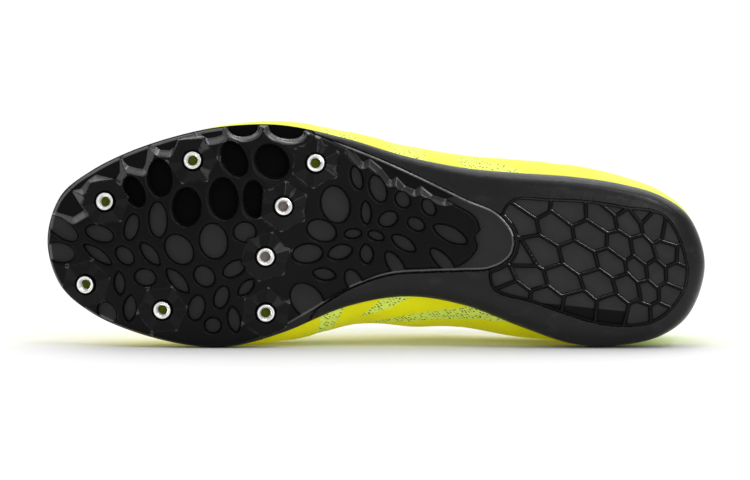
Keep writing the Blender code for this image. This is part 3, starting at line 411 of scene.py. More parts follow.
# Pockets of the tread, in millimetres from the heel and from the inner line. Turn is the
# angle of the long axis towards the outer side, point is 1 for an oval and more for a leaf
# with sharp ends, and lip names how the web drops into it. All but those with a floor go
# through the plate as well.
Pocket = namedtuple("Pocket", "along across length width turn point lip", defaults=(1.0, "floor"))
POCKETS = [
    Pocket(278.5, 51.5, 16.0, 7.0, 35),
    Pocket(279.5, 41.0, 13.0, 8.0, 10),
    Pocket(261.9, 49.4, 12.0, 6.3, 17),
    Pocket(262.7, 40.3, 14.0, 4.0, 35, 1.6),
    Pocket(250.9, 39.9, 8.7, 5.9, 45),
    Pocket(239.9, 40.7, 11.7, 4.8, 50, 1.5),
    Pocket(247.9, 52.3, 11.0, 5.3, -75),
    Pocket(236.4, 55.5, 14.8, 7.2, 88),
    Pocket(246.6, 67.5, 13.0, 7.0, 65, lip="deep"),
    Pocket(235.6, 73.6, 15.5, 9.5, 83, lip="deep"),
    Pocket(223.9, 61.0, 15.6, 11.2, 90, lip="deep"),
    Pocket(207.9, 64.6, 17.0, 11.2, 83, lip="deep"),
    Pocket(203.2, 81.7, 15.0, 9.0, 65, lip="deep"),
    Pocket(187.0, 80.5, 15.0, 12.2, 50, lip="deep"),
    Pocket(194.8, 64.3, 15.2, 8.0, 85, lip="deep"),
    Pocket(227.3, 42.7, 13.7, 10.4, 50),
    Pocket(212.4, 46.3, 14.8, 11.4, 80),
    Pocket(198.9, 50.2, 9.0, 8.0, 0),
    Pocket(242.1, 30.5, 8.7, 6.7, 10),
    Pocket(228.0, 29.1, 13.0, 5.0, 48, 1.5),
    Pocket(216.4, 31.1, 9.3, 7.6, 45),
    Pocket(203.5, 34.3, 10.0, 5.6, -30),
    Pocket(253.3, 27.9, 9.5, 4.0, 87, 1.5),
    Pocket(248.9, 17.0, 11.0, 4.9, -83, 1.5),
    Pocket(258.8, 15.0, 9.5, 7.0, 60),
    Pocket(209.1, 22.0, 9.3, 5.4, -70),
    Pocket(219.9, 17.4, 10.4, 6.3, -75),
    Pocket(198.4, 26.2, 8.6, 3.9, -45, 1.5),
    Pocket(212.9, 9.8, 6.5, 6.0, 0),
    Pocket(203.7, 12.3, 10.6, 4.7, 80, 1.4),
    Pocket(159.8, 61.8, 15.6, 11.6, 75),
    Pocket(165.8, 50.6, 12.4, 8.5, 20),
    Pocket(171.9, 40.7, 12.4, 7.6, -5),
    Pocket(157.8, 41.3, 10.2, 5.6, -15, 1.4),
    Pocket(164.7, 31.7, 9.3, 4.4, 10, 1.5),
    Pocket(146.4, 40.4, 7.8, 4.9, 85, 1.4),
    Pocket(152.3, 49.2, 6.6, 3.4, -5),
    Pocket(142.3, 48.3, 6.4, 3.2, 20),
    Pocket(146.6, 58.3, 9.4, 3.6, 87, 1.4),
    Pocket(172.0, 20.0, 17.0, 12.0, 50),
    Pocket(152.0, 28.6, 10.0, 6.0, 60),
    Pocket(134.0, 35.6, 13.0, 5.3, 55, 1.2),
    Pocket(113.6, 37.4, 14.0, 4.8, 45, 1.2),
    Pocket(130.4, 45.0, 11.3, 4.6, 33, 1.4),
    Pocket(110.2, 48.9, 15.6, 5.6, 27, 1.4),
    Pocket(137.0, 55.5, 7.8, 5.7, -25),
    Pocket(125.0, 53.3, 7.3, 4.6, 30),
    Pocket(130.7, 63.9, 6.9, 5.4, 60),
    Pocket(119.5, 60.6, 7.3, 4.6, 60),
    Pocket(141.4, 68.6, 11.5, 6.0, 70),
    Pocket(150.5, 73.3, 9.7, 4.0, 75, 1.2),
    Pocket(199.7, 95.2, 13.0, 8.0, 0, lip="notch"),
    Pocket(181.0, 94.2, 15.0, 8.0, 10, lip="notch"),
]
POCKET_STEPS = 96
BORE_STEPS = 40

# Cuts that take the web back from the outer edge of the tread, in the same measures. The
# plate under them is painted near black as shade.
Plan = namedtuple("Plan", "along across")
EDGE_CUTS = [
    [Plan(273.5, 66.7), Plan(268.8, 59.3), Plan(273.5, 56.4), Plan(281.0, 58.5), Plan(286.0, 62.0),
     Plan(277.0, 73.0)],
    [Plan(274.0, 67.8), Plan(270.2, 68.7), Plan(267.1, 72.3), Plan(263.5, 74.8), Plan(256.0, 73.1),
     Plan(254.9, 72.4), Plan(253.0, 75.9), Plan(253.3, 90.0), Plan(262.0, 90.0), Plan(277.0, 74.5)],
    [Plan(251.6, 80.9), Plan(249.5, 78.7), Plan(245.6, 77.6), Plan(242.9, 77.3), Plan(241.8, 79.7),
     Plan(240.8, 85.8), Plan(240.8, 95.0), Plan(251.8, 92.0)],
    [Plan(239.4, 86.6), Plan(237.3, 86.9), Plan(235.6, 85.6), Plan(231.2, 85.4), Plan(229.2, 86.9),
     Plan(226.2, 90.6), Plan(221.0, 92.6), Plan(221.0, 101.0), Plan(239.4, 97.0)],
    [Plan(219.6, 93.4), Plan(215.2, 90.5), Plan(211.7, 91.0), Plan(208.6, 92.0), Plan(208.2, 101.0),
     Plan(219.6, 101.0)],
    [Plan(152.3, 85.5), Plan(147.9, 80.0), Plan(144.8, 81.6), Plan(139.8, 77.4), Plan(135.8, 72.2),
     Plan(133.4, 73.8), Plan(129.7, 69.8), Plan(125.4, 68.1), Plan(122.9, 69.8), Plan(118.0, 65.9),
     Plan(112.4, 64.1), Plan(104.0, 66.0), Plan(120.0, 80.0), Plan(135.0, 88.0), Plan(152.3, 94.0)],
]

# The plate's rim carries a painted highlight outwards of this point and behind it.
HIGHLIGHT_START = Plan(178.0, 48.0)


def loop_rows(outer, inner):
    """Rows of a closed loop: heel tip, outer side, toe tip, then the inner side back."""
    rows = list(outer) + list(inner[LAST - 1:0:-1])
    return np.array(rows[-2:] + rows + rows[:3], dtype=float)


LOOP_KNOTS = np.arange(-2, LOOP_LENGTH + 3)
EDGE_LOOP = loop_rows(
    [(row.along * SOLE_LENGTH, row.outer * BALL_WIDTH) for row in SOLE_EDGE],
    [(row.along * SOLE_LENGTH, row.inner * BALL_WIDTH) for row in SOLE_EDGE],
)


def edge_normal(u):
    """Outward direction of the sole's edge, seen from above."""
    u = np.asarray(u, dtype=float) % LOOP_LENGTH
    ahead = curve_through(LOOP_KNOTS, EDGE_LOOP, u + 0.02)
    behind = curve_through(LOOP_KNOTS, EDGE_LOOP, u - 0.02)
    way = ahead - behind
    out = np.stack((-way[..., 1], way[..., 0]), axis=-1)
    return out / np.linalg.norm(out, axis=-1, keepdims=True)


def edge_point(u, inset):
    """A point of the sole's edge, moved inwards."""
    u = np.asarray(u, dtype=float) % LOOP_LENGTH
    return curve_through(LOOP_KNOTS, EDGE_LOOP, u) - inset * edge_normal(u)


def share_point(row):
    """Plan position of a row given in shares of the sole length and the ball width."""
    return np.array((row.along * SOLE_LENGTH, row.across * BALL_WIDTH))


def even_steps(points, spacing):
    """Points at an even spacing along a line through points, both ends kept."""
    run = np.concatenate([[0], np.cumsum(np.linalg.norm(np.diff(points, axis=0), axis=1))])
    count = max(int(round(run[-1] / spacing)), 1)
    at = np.linspace(0, run[-1], count + 1)
    return np.stack([np.interp(at, run, points[:, axis]) for axis in range(points.shape[1])], axis=1)


def smooth_side(points, spacing):
    """Even steps along a smooth open curve through points."""
    points = np.array(points)
    knots = np.concatenate([[0], np.cumsum(np.linalg.norm(np.diff(points, axis=0), axis=1))])
    return even_steps(curve_through(knots, points, np.linspace(0, knots[-1], 2000)), spacing)


FULL_SIDE = np.arange(PLATE_FIRST_FULL_SECTION, LAST + 0.1, 0.5)
FOREFOOT_OUTER = list(edge_point(FULL_SIDE, PLATE_INSET))
FOREFOOT_INNER = list(edge_point(LOOP_LENGTH - FULL_SIDE[2:], PLATE_INSET))


def outline_of(tip, outer_tail, inner_tail, spacing):
    """A closed outline from a tail tip along the outer side to the toe and back."""
    outer = smooth_side([tip] + outer_tail + FOREFOOT_OUTER, spacing)
    inner = smooth_side([tip] + inner_tail + FOREFOOT_INNER, spacing)
    return np.concatenate([outer, inner[-2:0:-1]])


def pocket_outline(pocket):
    """Oval or leaf outline of one pocket."""
    angle = 2 * math.pi * np.arange(POCKET_STEPS) / POCKET_STEPS
    bow = np.sign(np.sin(angle)) * np.abs(np.sin(angle)) ** pocket.point
    spots = 0.5 * MM * np.stack((pocket.length * np.cos(angle), pocket.width * bow), axis=1)
    turn = math.radians(pocket.turn)
    turned = spots @ np.array(((math.cos(turn), math.sin(turn)), (-math.sin(turn), math.cos(turn))))
    return from_inner_line(pocket) + turned


def closed_steps(loop, spacing):
    """Even steps round a closed loop."""
    return even_steps(np.concatenate([loop, loop[:1]]), spacing)[:-1]


def inside(points, loop):
    """Which points lie inside a closed loop."""
    found = np.zeros(len(points), dtype=bool)
    low, high = loop.min(0), loop.max(0)
    near = np.flatnonzero(((points >= low) & (points <= high)).all(1))
    if len(near) == 0:
        return found
    x, y = points[near, 0][:, None], points[near, 1][:, None]
    a, b = loop, np.roll(loop, -1, axis=0)
    crosses = (a[:, 1] > y) != (b[:, 1] > y)
    with np.errstate(divide="ignore", invalid="ignore"):
        meets = a[:, 0] + (y - a[:, 1]) * (b[:, 0] - a[:, 0]) / (b[:, 1] - a[:, 1])
    found[near] = (crosses & (x < meets)).sum(1) % 2 == 1
    return found


def moved_out(loop, amount):
    """A loop moved outwards, or inwards by a negative amount."""
    way = np.roll(loop, -1, axis=0) - np.roll(loop, 1, axis=0)
    out = np.stack((way[:, 1], -way[:, 0]), axis=1)
    out /= np.maximum(np.linalg.norm(out, axis=1, keepdims=True), 1e-9)
    area = np.sum(loop[:, 0] * np.roll(loop[:, 1], -1) - loop[:, 1] * np.roll(loop[:, 0], -1))
    return loop + np.asarray(amount).reshape(-1, 1) * out * np.sign(area)


def distance_to(loops):
    """A function that gives the distance from points to the nearest of some loops."""
    spots = np.concatenate([closed_steps(loop, 0.15 * MM) for loop in loops])
    tree = KDTree(len(spots))
    for index, spot in enumerate(spots):
        tree.insert((*spot, 0.0), index)
    tree.balance()
    return lambda points: np.array([tree.find((*spot, 0.0))[2] for spot in points])


def hexagonal_fill(loop, spacing):
    """Points of a regular triangular grid over a loop's extent."""
    low, high = loop.min(0), loop.max(0)
    rows = np.arange(low[1], high[1], spacing * math.sqrt(0.75))
    columns = np.arange(low[0], high[0], spacing)
    grid = [np.stack((columns + 0.5 * spacing * (number % 2), np.full_like(columns, row)), axis=1)
            for number, row in enumerate(rows)]
    return np.concatenate(grid)


def thinned(points, fixed, gap):
    """Points that are at least a gap from the fixed ones and from each other."""
    cells = {}

    def free(spot):
        column, row = int(spot[0] // gap), int(spot[1] // gap)
        for near in [(column + i, row + j) for i in (-1, 0, 1) for j in (-1, 0, 1)]:
            for other in cells.get(near, ()):
                if (spot[0] - other[0]) ** 2 + (spot[1] - other[1]) ** 2 < gap * gap:
                    return False
        return True

    def hold(spot):
        cells.setdefault((int(spot[0] // gap), int(spot[1] // gap)), []).append(spot)

    for spot in fixed:
        hold(spot)
    kept = []
    for spot in points:
        if free(spot):
            hold(spot)
            kept.append(spot)
    return np.array(kept).reshape(-1, 2)


def plan_triangles(loops, points, material):
    """Triangles over the plan with edges along the loops, where material is found."""
    edges = []
    start = 0
    for loop in loops:
        edges += [(start + i, start + (i + 1) % len(loop)) for i in range(len(loop))]
        start += len(loop)
    spots = [Vector(spot) for spot in np.concatenate(list(loops) + [points])]
    spots, _, faces, *_ = delaunay_2d_cdt(spots, edges, [], 0, 1e-7)
    spots = np.array([tuple(spot) for spot in spots])
    faces = np.array(faces)
    faces = faces[material(spots[faces].mean(1))]
    used, numbers = np.unique(faces, return_inverse=True)
    return spots[used], numbers.reshape(-1, 3)


def border_edges(faces):
    """Edges that only one triangle has, in the triangle's direction."""
    pairs = np.concatenate([faces[:, [0, 1]], faces[:, [1, 2]], faces[:, [2, 0]]])
    known = {tuple(pair) for pair in pairs}
    return [pair for pair in known if pair[::-1] not in known]


def moulding(name, loops, points, material, face_height, back_height, back_spacing, back_rings=()):
    """A closed moulded sheet: a shaped face towards the ground and a plain back."""
    spots, faces = plan_triangles(loops, points, material)
    border = border_edges(faces)
    rim = sorted({index for pair in border for index in pair})
    height = face_height(spots)
    height[rim] = back_height(spots[rim])
    face = np.column_stack((spots, height))
    place = {index: number for number, index in enumerate(rim)}
    fill = hexagonal_fill(spots, back_spacing)
    back_rings = np.reshape(back_rings, (-1, 2))
    fill = thinned(fill[material(fill)], np.concatenate([spots[rim], back_rings]), 0.6 * back_spacing)
    fill = np.concatenate([back_rings, fill])
    corners = [Vector(spot) for spot in np.concatenate([spots[rim], fill])]
    edges = [(place[a], place[b]) for a, b in border]
    flat, _, back, sources, *_ = delaunay_2d_cdt(corners, edges, [], 0, 1e-7)
    flat = np.array([tuple(spot) for spot in flat])
    back = np.array(back)
    back = back[material(flat[back].mean(1))]
    behind = np.column_stack((fill, back_height(fill)))
    number_of = [rim[s[0]] if s and s[0] < len(rim) else len(face) + s[0] - len(rim) for s in sources]
    back = np.array(number_of)[back]
    mesh = bpy.data.meshes.new(name)
    mesh.from_pydata(np.concatenate([face, behind]), [], np.concatenate([faces[:, ::-1], back]).tolist())
    return mesh


def layer(depth):
    """Height function of one layer of the sole."""
    return lambda spots: tread_height(spots[:, 0], spots[:, 1]) + depth


def rounded(distance, radius):
    """Share of a rounded edge's drop at a distance from the edge, from 1 to 0."""
    share = np.clip(1 - distance / radius, 0, 1)
    return 1 - np.sqrt(1 - share * share)


plate_outline = outline_of(share_point(PLATE_TAIL_TIP), [share_point(row) for row in PLATE_OUTER_TAIL],
                           [share_point(row) for row in PLATE_INNER_TAIL], 0.8 * MM)
pocket_loops = [closed_steps(pocket_outline(row), 0.5 * MM) for row in POCKETS]
deep_loops = [loop for loop, row in zip(pocket_loops, POCKETS) if row.lip != "floor"]
cut_loops = [closed_steps(np.array([from_inner_line(row) for row in cut]), 0.5 * MM) for cut in EDGE_CUTS]
bore_angle = 2 * math.pi * np.arange(BORE_STEPS) / BORE_STEPS
bore_loops = [from_inner_line(row) + (SOCKET_RADIUS + 0.5 * FIT_GAP)
              * np.stack((np.cos(bore_angle), np.sin(bore_angle)), axis=1) for row in SPIKES]


def plate_material(points):
    """Where the plate is not cut away."""
    solid = inside(points, plate_outline)
    for loop in deep_loops + bore_loops:
        solid &= ~inside(points, loop)
    return solid


plate_edge = distance_to([plate_outline] + deep_loops + bore_loops)


def plate_face(spots):
    """The plate's face, rounded at its edges."""
    drop = rounded(plate_edge(spots), PLATE_EDGE_ROUND)
    return layer(PLATE_LOW)(spots) + 0.7 * (PLATE_HIGH - PLATE_LOW) * drop


def face_centres(mesh):
    """Middles of a mesh's faces."""
    return np.array([face.center for face in mesh.polygons])


def set_finish(mesh, numbers):
    """Give each face of a mesh one of its piece's materials, by number."""
    mesh.polygons.foreach_set("material_index", numbers.astype(np.int32))


plate_loops = [plate_outline] + deep_loops + bore_loops
plate_points = np.concatenate(
    [moved_out(plate_outline, -inset * MM) for inset in (0.15, 0.3, 0.5, 0.8, 1.1)]
    + cut_loops
    + [moved_out(loop, out * MM) for loop in deep_loops for out in (0.2, 0.5)]
    + [hexagonal_fill(plate_outline, 2.2 * MM)])
plate_points = thinned(plate_points[plate_material(plate_points)], np.concatenate(plate_loops), 0.14 * MM)
charcoal, shade = new_finish("charcoal_plate", Specular_IOR_Level=0.12)
mottle = shade.noise(9 * MM, 4.0)
hatch = shade.node("TexWave", {"wave_type": "BANDS", "bands_direction": "DIAGONAL"},
                   {"Vector": shade.node("TexCoord", {}, {}, output=3), "Scale": 0.30 / MM,
                    "Distortion": 0.4}, output=1)
shade.feed(Base_Color=(0.85 * mottle + 0.15 * hatch).vary(PLATE_COLOUR, 0.82, 1.18),
           Roughness=0.42 + 0.15 * mottle, Normal=shade.bump(hatch, 0.015 * MM))
# The plate's rim is coloured lighter all round: light that it catches from the floor, painted in.
rim_painted_light, shade = new_finish("plate_rim_painted_light", Specular_IOR_Level=0.7)
mottle = shade.noise(2 * MM, 4.0)
shade.feed(Base_Color=mottle.vary(RIM_LIGHT_COLOUR, 0.7, 1.3),
           Roughness=0.16 + 0.1 * mottle)
# Painted highlight: a bright line along the outer rim of the tail, the side that faces the lights.
painted_highlight_rim, shade = new_finish("painted_highlight_rim", Specular_IOR_Level=1.0)
mottle = shade.noise(12 * MM, 3.0)
shade.feed(Base_Color=mottle.step(0.3, 0.7).vary(RIM_LIGHT_COLOUR, 3, 11), Roughness=0.08 + 0.08 * mottle)
# The plate under the edge cuts: painted shade, near black.
plate_painted_shade, shade = new_finish("black_plate_painted_shade", Base_Color=toned(PLATE_COLOUR, 0.1),
                                Specular_IOR_Level=0.09)
shade.feed(Roughness=0.25 + 0.2 * shade.noise(6 * MM, 3.0))
plate_mesh = moulding("plate", plate_loops, plate_points, plate_material, plate_face,
                      layer(PLATE_HIGH), 4 * MM)
plate_centres = face_centres(plate_mesh)[:, :2]
on_cut = np.any([inside(plate_centres, loop) for loop in cut_loops], axis=0)
from_rim = distance_to([plate_outline])(plate_centres)
# Finishes: the rim with painted light, the plate under the edge cuts with painted shade and the outer tail
# rim with a painted highlight.
plate_finish = np.where(from_rim < PLATE_RIM, 1, np.where(on_cut, 2, 0))
is_outer = plate_centres[:, 1] > from_inner_line(HIGHLIGHT_START)[1]
plate_finish[is_outer & (from_rim < 0.55 * PLATE_RIM) & (plate_centres[:, 0] < HIGHLIGHT_START.along * MM)] = 3
set_finish(plate_mesh, plate_finish)
add_piece("plate", plate_mesh, "grey_plate", ["spike_plate"], charcoal, rim_painted_light, plate_painted_shade, painted_highlight_rim)


# Tread web: black satin plastic moulded over the plate as a raised net. Its pockets leave
# the plate bare, and round each socket it rises to a six-pointed boss of twelve facets.
WEB_WALL = 0.6 * MM
WEB_EDGE_ROUND = 1.3 * MM
WEB_COLOUR = (0.0032, 0.0032, 0.0034)
BOSS_RADIUS = 11.2 * MM
BOSS_CROWN_RADIUS = 4.7 * MM
BOSS_CORNER = 0.2 * MM
BOSS_VALLEY = -0.55 * MM
BOSS_SKIRT = 0.35 * MM
BOSS_SIDES = 6
BOSS_GLINT = 1.1 * MM
SOCKET_SEAT = 0.15 * MM
SOCKET_SEAT_WALL = 0.3 * MM
WAIST_BEVEL = 156 * MM
BEVEL_STEEPNESS = 0.94

# The web's tail, in the same measures as the pockets.
WEB_TAIL_TIP = Plan(97.1, 50.8)
WEB_OUTER_TAIL = [
    Plan(98.4, 54.8),
    Plan(109.7, 62.8),
    Plan(124.9, 73.2),
    Plan(144.3, 81.6),
]
WEB_INNER_TAIL = [
    Plan(99.3, 48.0),
    Plan(98.4, 43.3),
    Plan(100.7, 39.3),
    Plan(105.5, 35.5),
    Plan(120.0, 33.9),
    Plan(136.0, 32.8),
    Plan(148.5, 28.4),
    Plan(164.5, 20.0),
]

# How the edge of a pocket drops: the width of its lip, the share of the web's height that the
# lip takes before the steep wall, and whether the lip is flat or rounded.
Lip = namedtuple("Lip", "width share flat")
LIPS = {
    "floor": Lip(1.1 * MM, 0.26, False),
    "deep": Lip(2.3 * MM, 0.42, False),
    "notch": Lip(2.2 * MM, 0.85, False),
    "cut": Lip(2.5 * MM, 0.85, True),
}

web_outline = outline_of(from_inner_line(WEB_TAIL_TIP), [from_inner_line(row) for row in WEB_OUTER_TAIL],
                         [from_inner_line(row) for row in WEB_INNER_TAIL], 0.6 * MM)
LOOP_FINE = np.linspace(0, LOOP_LENGTH, 2000, endpoint=False)
edge_loop = closed_steps(edge_point(LOOP_FINE, PLATE_INSET), 0.6 * MM)
web_edge = distance_to([web_outline])
web_cuts = pocket_loops + cut_loops
web_lips = [row.lip for row in POCKETS] + ["cut"] * len(cut_loops)
lip_distance = {kind: distance_to([loop for loop, lip in zip(web_cuts, web_lips) if lip == kind])
                for kind in LIPS}


def boss_corners(spike, radius):
    """Corners of a six-sided ring round a socket, in the plan."""
    angle = math.radians(90 + spike.turn) + 2 * math.pi * np.arange(BOSS_SIDES) / BOSS_SIDES
    return from_inner_line(spike) + radius * np.stack((np.cos(angle), np.sin(angle)), axis=1)


def boss_facets(spike):
    """Corner triples of a boss's facets: ridges run to its corners and valleys to its sides."""
    foot = np.column_stack((boss_corners(spike, BOSS_RADIUS), np.full(BOSS_SIDES, BOSS_CORNER)))
    crown = np.column_stack((boss_corners(spike, BOSS_CROWN_RADIUS), np.full(BOSS_SIDES, BOSS_PROUD)))
    facets = []
    for side in range(BOSS_SIDES):
        after = (side + 1) % BOSS_SIDES
        valley = 0.5 * (foot[side] + foot[after])
        valley[2] = BOSS_VALLEY
        facets.append((crown[side], foot[side], valley))
        facets.append((crown[after], valley, foot[after]))
    return facets


def boss_height(spike, spots):
    """Height of a boss above the tread, up to its crown."""
    away = spots - from_inner_line(spike)
    bearing = np.arctan2(away[:, 1], away[:, 0]) - math.radians(90 + spike.turn)
    sector = np.floor(np.mod(bearing, 2 * math.pi) * BOSS_SIDES / math.pi)
    height = np.full(len(spots), BOSS_PROUD)
    for number, (a, b, c) in enumerate(boss_facets(spike)):
        across = np.cross(b - a, c - a)
        plane = a[2] - ((spots - a[:2]) @ across[:2]) / across[2]
        height = np.where(sector == number, np.minimum(height, plane), height)
    return height


def boss_inset(spike, spots):
    """Distance inwards from a boss's outline."""
    angle = np.radians(120 + spike.turn) + 2 * math.pi * np.arange(BOSS_SIDES) / BOSS_SIDES
    out = np.stack((np.cos(angle), np.sin(angle)))
    return BOSS_RADIUS * math.cos(math.pi / BOSS_SIDES) - ((spots - from_inner_line(spike)) @ out).max(1)


def in_pockets(points):
    """Which points lie in a pocket that no boss fills."""
    found = np.zeros(len(points), dtype=bool)
    for loop in web_cuts:
        found |= inside(points, loop)
    for spike in SPIKES:
        found &= boss_inset(spike, points) < 0
    return found


def web_material(points):
    """Where the web is not cut away."""
    solid = inside(points, web_outline) & ~in_pockets(points)
    for spike in SPIKES:
        solid |= inside(points, edge_loop) & (boss_inset(spike, points) > 0)
    for loop in bore_loops:
        solid &= ~inside(points, loop)
    return solid


def lip_drop(distance, lip):
    """Share of the web's height that is lost at a distance from a pocket."""
    wall = 1 - (1 - lip.share) * np.clip(distance / WEB_WALL, 0, 1)
    slope = np.clip(1 - (distance - WEB_WALL) / lip.width, 0, 1)
    face = slope if lip.flat else rounded(distance - WEB_WALL, lip.width)
    return np.where(distance < WEB_WALL, wall, lip.share * face)


def web_face(spots):
    """The web's face, with lips at its pockets, a round outer edge and its bosses."""
    drop = rounded(web_edge(spots), WEB_EDGE_ROUND)
    for kind, lip in LIPS.items():
        drop = np.maximum(drop, lip_drop(lip_distance[kind](spots), lip))
    for loop in web_cuts:
        drop[inside(spots, loop)] = 1.0
    depth = WEB_HEIGHT * drop
    for spike in SPIKES:
        skirt = np.clip(boss_inset(spike, spots) / BOSS_SKIRT, 0, 1)
        depth += skirt * (-boss_height(spike, spots) - depth)
        reach = np.linalg.norm(spots - from_inner_line(spike), axis=1) - SOCKET_RADIUS
        seat = WEB_HEIGHT + np.clip((reach - SOCKET_SEAT) / SOCKET_SEAT_WALL, 0, 1) * (depth - WEB_HEIGHT)
        depth = np.where(reach < SOCKET_SEAT + SOCKET_SEAT_WALL, seat, depth)
    return layer(0.0)(spots) + depth


boss_loops = []
boss_points = []
for spike in SPIKES:
    boss_loops.append(closed_steps(boss_corners(spike, BOSS_RADIUS), 0.7 * MM))
    boss_points.append(moved_out(boss_loops[-1], -1.15 * BOSS_SKIRT))
    for facet in boss_facets(spike):
        corners = np.array(facet)[:, :2]
        middle = corners.mean(0)
        for shrink in (1.0, 0.90):
            boss_points.append(closed_steps(middle + shrink * (corners - middle), 0.6 * MM))
    for out in (0.2, 0.45, 0.8):
        boss_points.append(moved_out(bore_loops[SPIKES.index(spike)], out * MM))
lip_points = []
for loop, lip in zip(web_cuts, web_lips):
    width = LIPS[lip].width
    for out in [0.0] + [share * width for share in (0.06, 0.16, 0.32, 0.55, 0.8, 1.0)]:
        lip_points.append(moved_out(loop, WEB_WALL + out))
edge_points = [moved_out(web_outline, -inset * MM) for inset in (0.08, 0.25, 0.5, 0.9, 1.3)]
web_loops = [web_outline] + web_cuts + bore_loops + boss_loops
web_points = np.concatenate(boss_points + lip_points + edge_points + [hexagonal_fill(web_outline, 1.5 * MM)])
web_points = thinned(web_points[web_material(web_points)], np.concatenate(web_loops), 0.17 * MM)
satin, shade = new_finish("black_web", Base_Color=WEB_COLOUR, Specular_IOR_Level=0.09)
grain = shade.noise(0.5 * MM, 3.0)
bloom = shade.noise(14 * MM, 3.0)
shade.feed(Roughness=0.2 + 0.14 * bloom + 0.06 * grain, Normal=shade.bump(grain, 0.03 * MM, 0.6))
polish, shade = new_finish("polished_bevel", Base_Color=WEB_COLOUR, Specular_IOR_Level=0.9)
shade.feed(Roughness=0.18 + 0.12 * shade.noise(3 * MM, 3.0))
dull, shade = new_finish("dull_bevel", Base_Color=WEB_COLOUR, Specular_IOR_Level=0.42)
shade.feed(Roughness=0.14 + 0.2 * shade.noise(3 * MM, 3.0))
facet, shade = new_finish("boss_facet", Base_Color=toned(WEB_COLOUR, 0.4),
                          Specular_IOR_Level=0.17)
shade.feed(Roughness=0.18 + 0.1 * shade.noise(4 * MM, 3.0))
web_mesh = moulding("web", web_loops, web_points, web_material, web_face, layer(WEB_HEIGHT), 3 * MM)
web_centres = face_centres(web_mesh)[:, :2]
bevelled = np.array([abs(face.normal.z) < BEVEL_STEEPNESS for face in web_mesh.polygons])
by_edge = np.any([lip_distance[kind](web_centres) < WEB_WALL + LIPS[kind].width
                  for kind in ("notch", "cut")], axis=0)
web_finish = np.zeros(len(web_centres), dtype=np.int32)
for spike in SPIKES:
    inset = boss_inset(spike, web_centres)
    web_finish[inset > 0] = 2
    by_edge &= inset < 2 * BOSS_SKIRT
    corners = boss_corners(spike, BOSS_RADIUS)
    by_edge |= np.linalg.norm(web_centres[:, None] - corners, axis=2).min(1) < BOSS_GLINT
web_finish[bevelled & by_edge] = 1
web_finish[bevelled & by_edge & (web_centres[:, 0] < WAIST_BEVEL)] = 3
set_finish(web_mesh, web_finish)
web = add_piece("web", web_mesh, "black_web", ["tread_web"], satin, polish, facet, dull)
web.data.set_sharp_from_angle(angle=math.radians(60))


# Heel pad: a thin sheet of black rubber, bonded into a recess under the heel. Ribs run round
# many-sided sunk cells with matt floors, which fall away along the pad's inner edge.
CELL_DEPTH = 1.1 * MM
CELL_FALL = 0.9 * MM
CELL_FALL_WIDTH = 9 * MM
CELL_RIB = 1.3 * MM
CELL_REACH = 14 * MM
FRAME_WIDTH = 0.65 * CELL_RIB
CELL_WALL = 0.3 * MM
CELL_ROUND = 0.35 * MM
PAD_HIGH = 2.6 * MM
PAD_SHEET = 0.6 * MM
PAD_TAIL_GAP = 1.0 * MM
RIM_RISE = 0.8 * MM
RUBBER_COLOUR = (0.0030, 0.0030, 0.0032)
CELL_COLOUR = (0.025, 0.025, 0.026)

# The pad's outline, from its back round its outer side to the front and back along its inner
# side. The plate's tail is cut out of its front.
PAD_EDGE = [
    Share(0.026, -0.075),
    Share(0.038, 0.050),
    Share(0.062, 0.160),
    Share(0.124, 0.200),
    Share(0.180, 0.226),
    Share(0.240, 0.235),
    Share(0.293, 0.233),
    Share(0.326, 0.040),
    Share(0.322, -0.172),
    Share(0.267, -0.228),
    Share(0.218, -0.280),
    Share(0.170, -0.325),
    Share(0.120, -0.341),
    Share(0.076, -0.318),
    Share(0.045, -0.240),
    Share(0.029, -0.150),
]

# Middles of the cells, in millimetres from the heel and from the inner line.
CELLS = [
    Plan(75.3, 62.1), Plan(59.1, 59.6), Plan(44.7, 56.3), Plan(39.7, 62.2),
    Plan(33.7, 54.2), Plan(28.4, 59.6), Plan(22.8, 52.0), Plan(14.1, 48.8),
    Plan(16.7, 40.5), Plan(8.5, 40.1), Plan(12.7, 31.1), Plan(27.6, 41.2),
    Plan(29.4, 33.7), Plan(22.0, 31.5), Plan(36.4, 43.4), Plan(49.4, 48.4),
    Plan(65.6, 52.0), Plan(80.0, 54.9), Plan(71.3, 41.2), Plan(54.4, 38.4),
    Plan(40.0, 36.2), Plan(80.7, 39.9), Plan(76.7, 30.8), Plan(61.6, 28.6),
    Plan(45.8, 27.2), Plan(33.4, 25.8), Plan(24.7, 23.6), Plan(16.3, 22.2),
    Plan(19.9, 14.5), Plan(28.2, 14.1), Plan(40.0, 17.0), Plan(54.8, 18.2),
    Plan(68.8, 20.3), Plan(82.8, 23.9), Plan(88.6, 30.8),
]

# Where the lines between the cells lean, in millimetres from the heel and from the inner line,
# and how much they shear and squeeze there, with what the front of the pad adds.
LEAN_ALONG = (16, 22)
LEAN_ACROSS = (20, 24, 57, 60)
LEAN_FRONT = (30, 45)
SHEAR = -0.32
FRONT_SHEAR = -0.13
SQUEEZE = -0.37
FRONT_SQUEEZE = 0.71

# Walls that face this way, towards the key light, get a glossier copy of the rubber, which paints
# glints on them.
LIT_SIDE = (-0.5, 0.866)
LIT_SHARE = 0.93

# Inwards of this line the cell floors are painted black as shade, where they fall away.
PAINTED_SHADE_LINE = [Plan(34.0, 15.3), Plan(74.0, 19.4)]
PAINTED_SHADE_FADE = 0.3 * MM

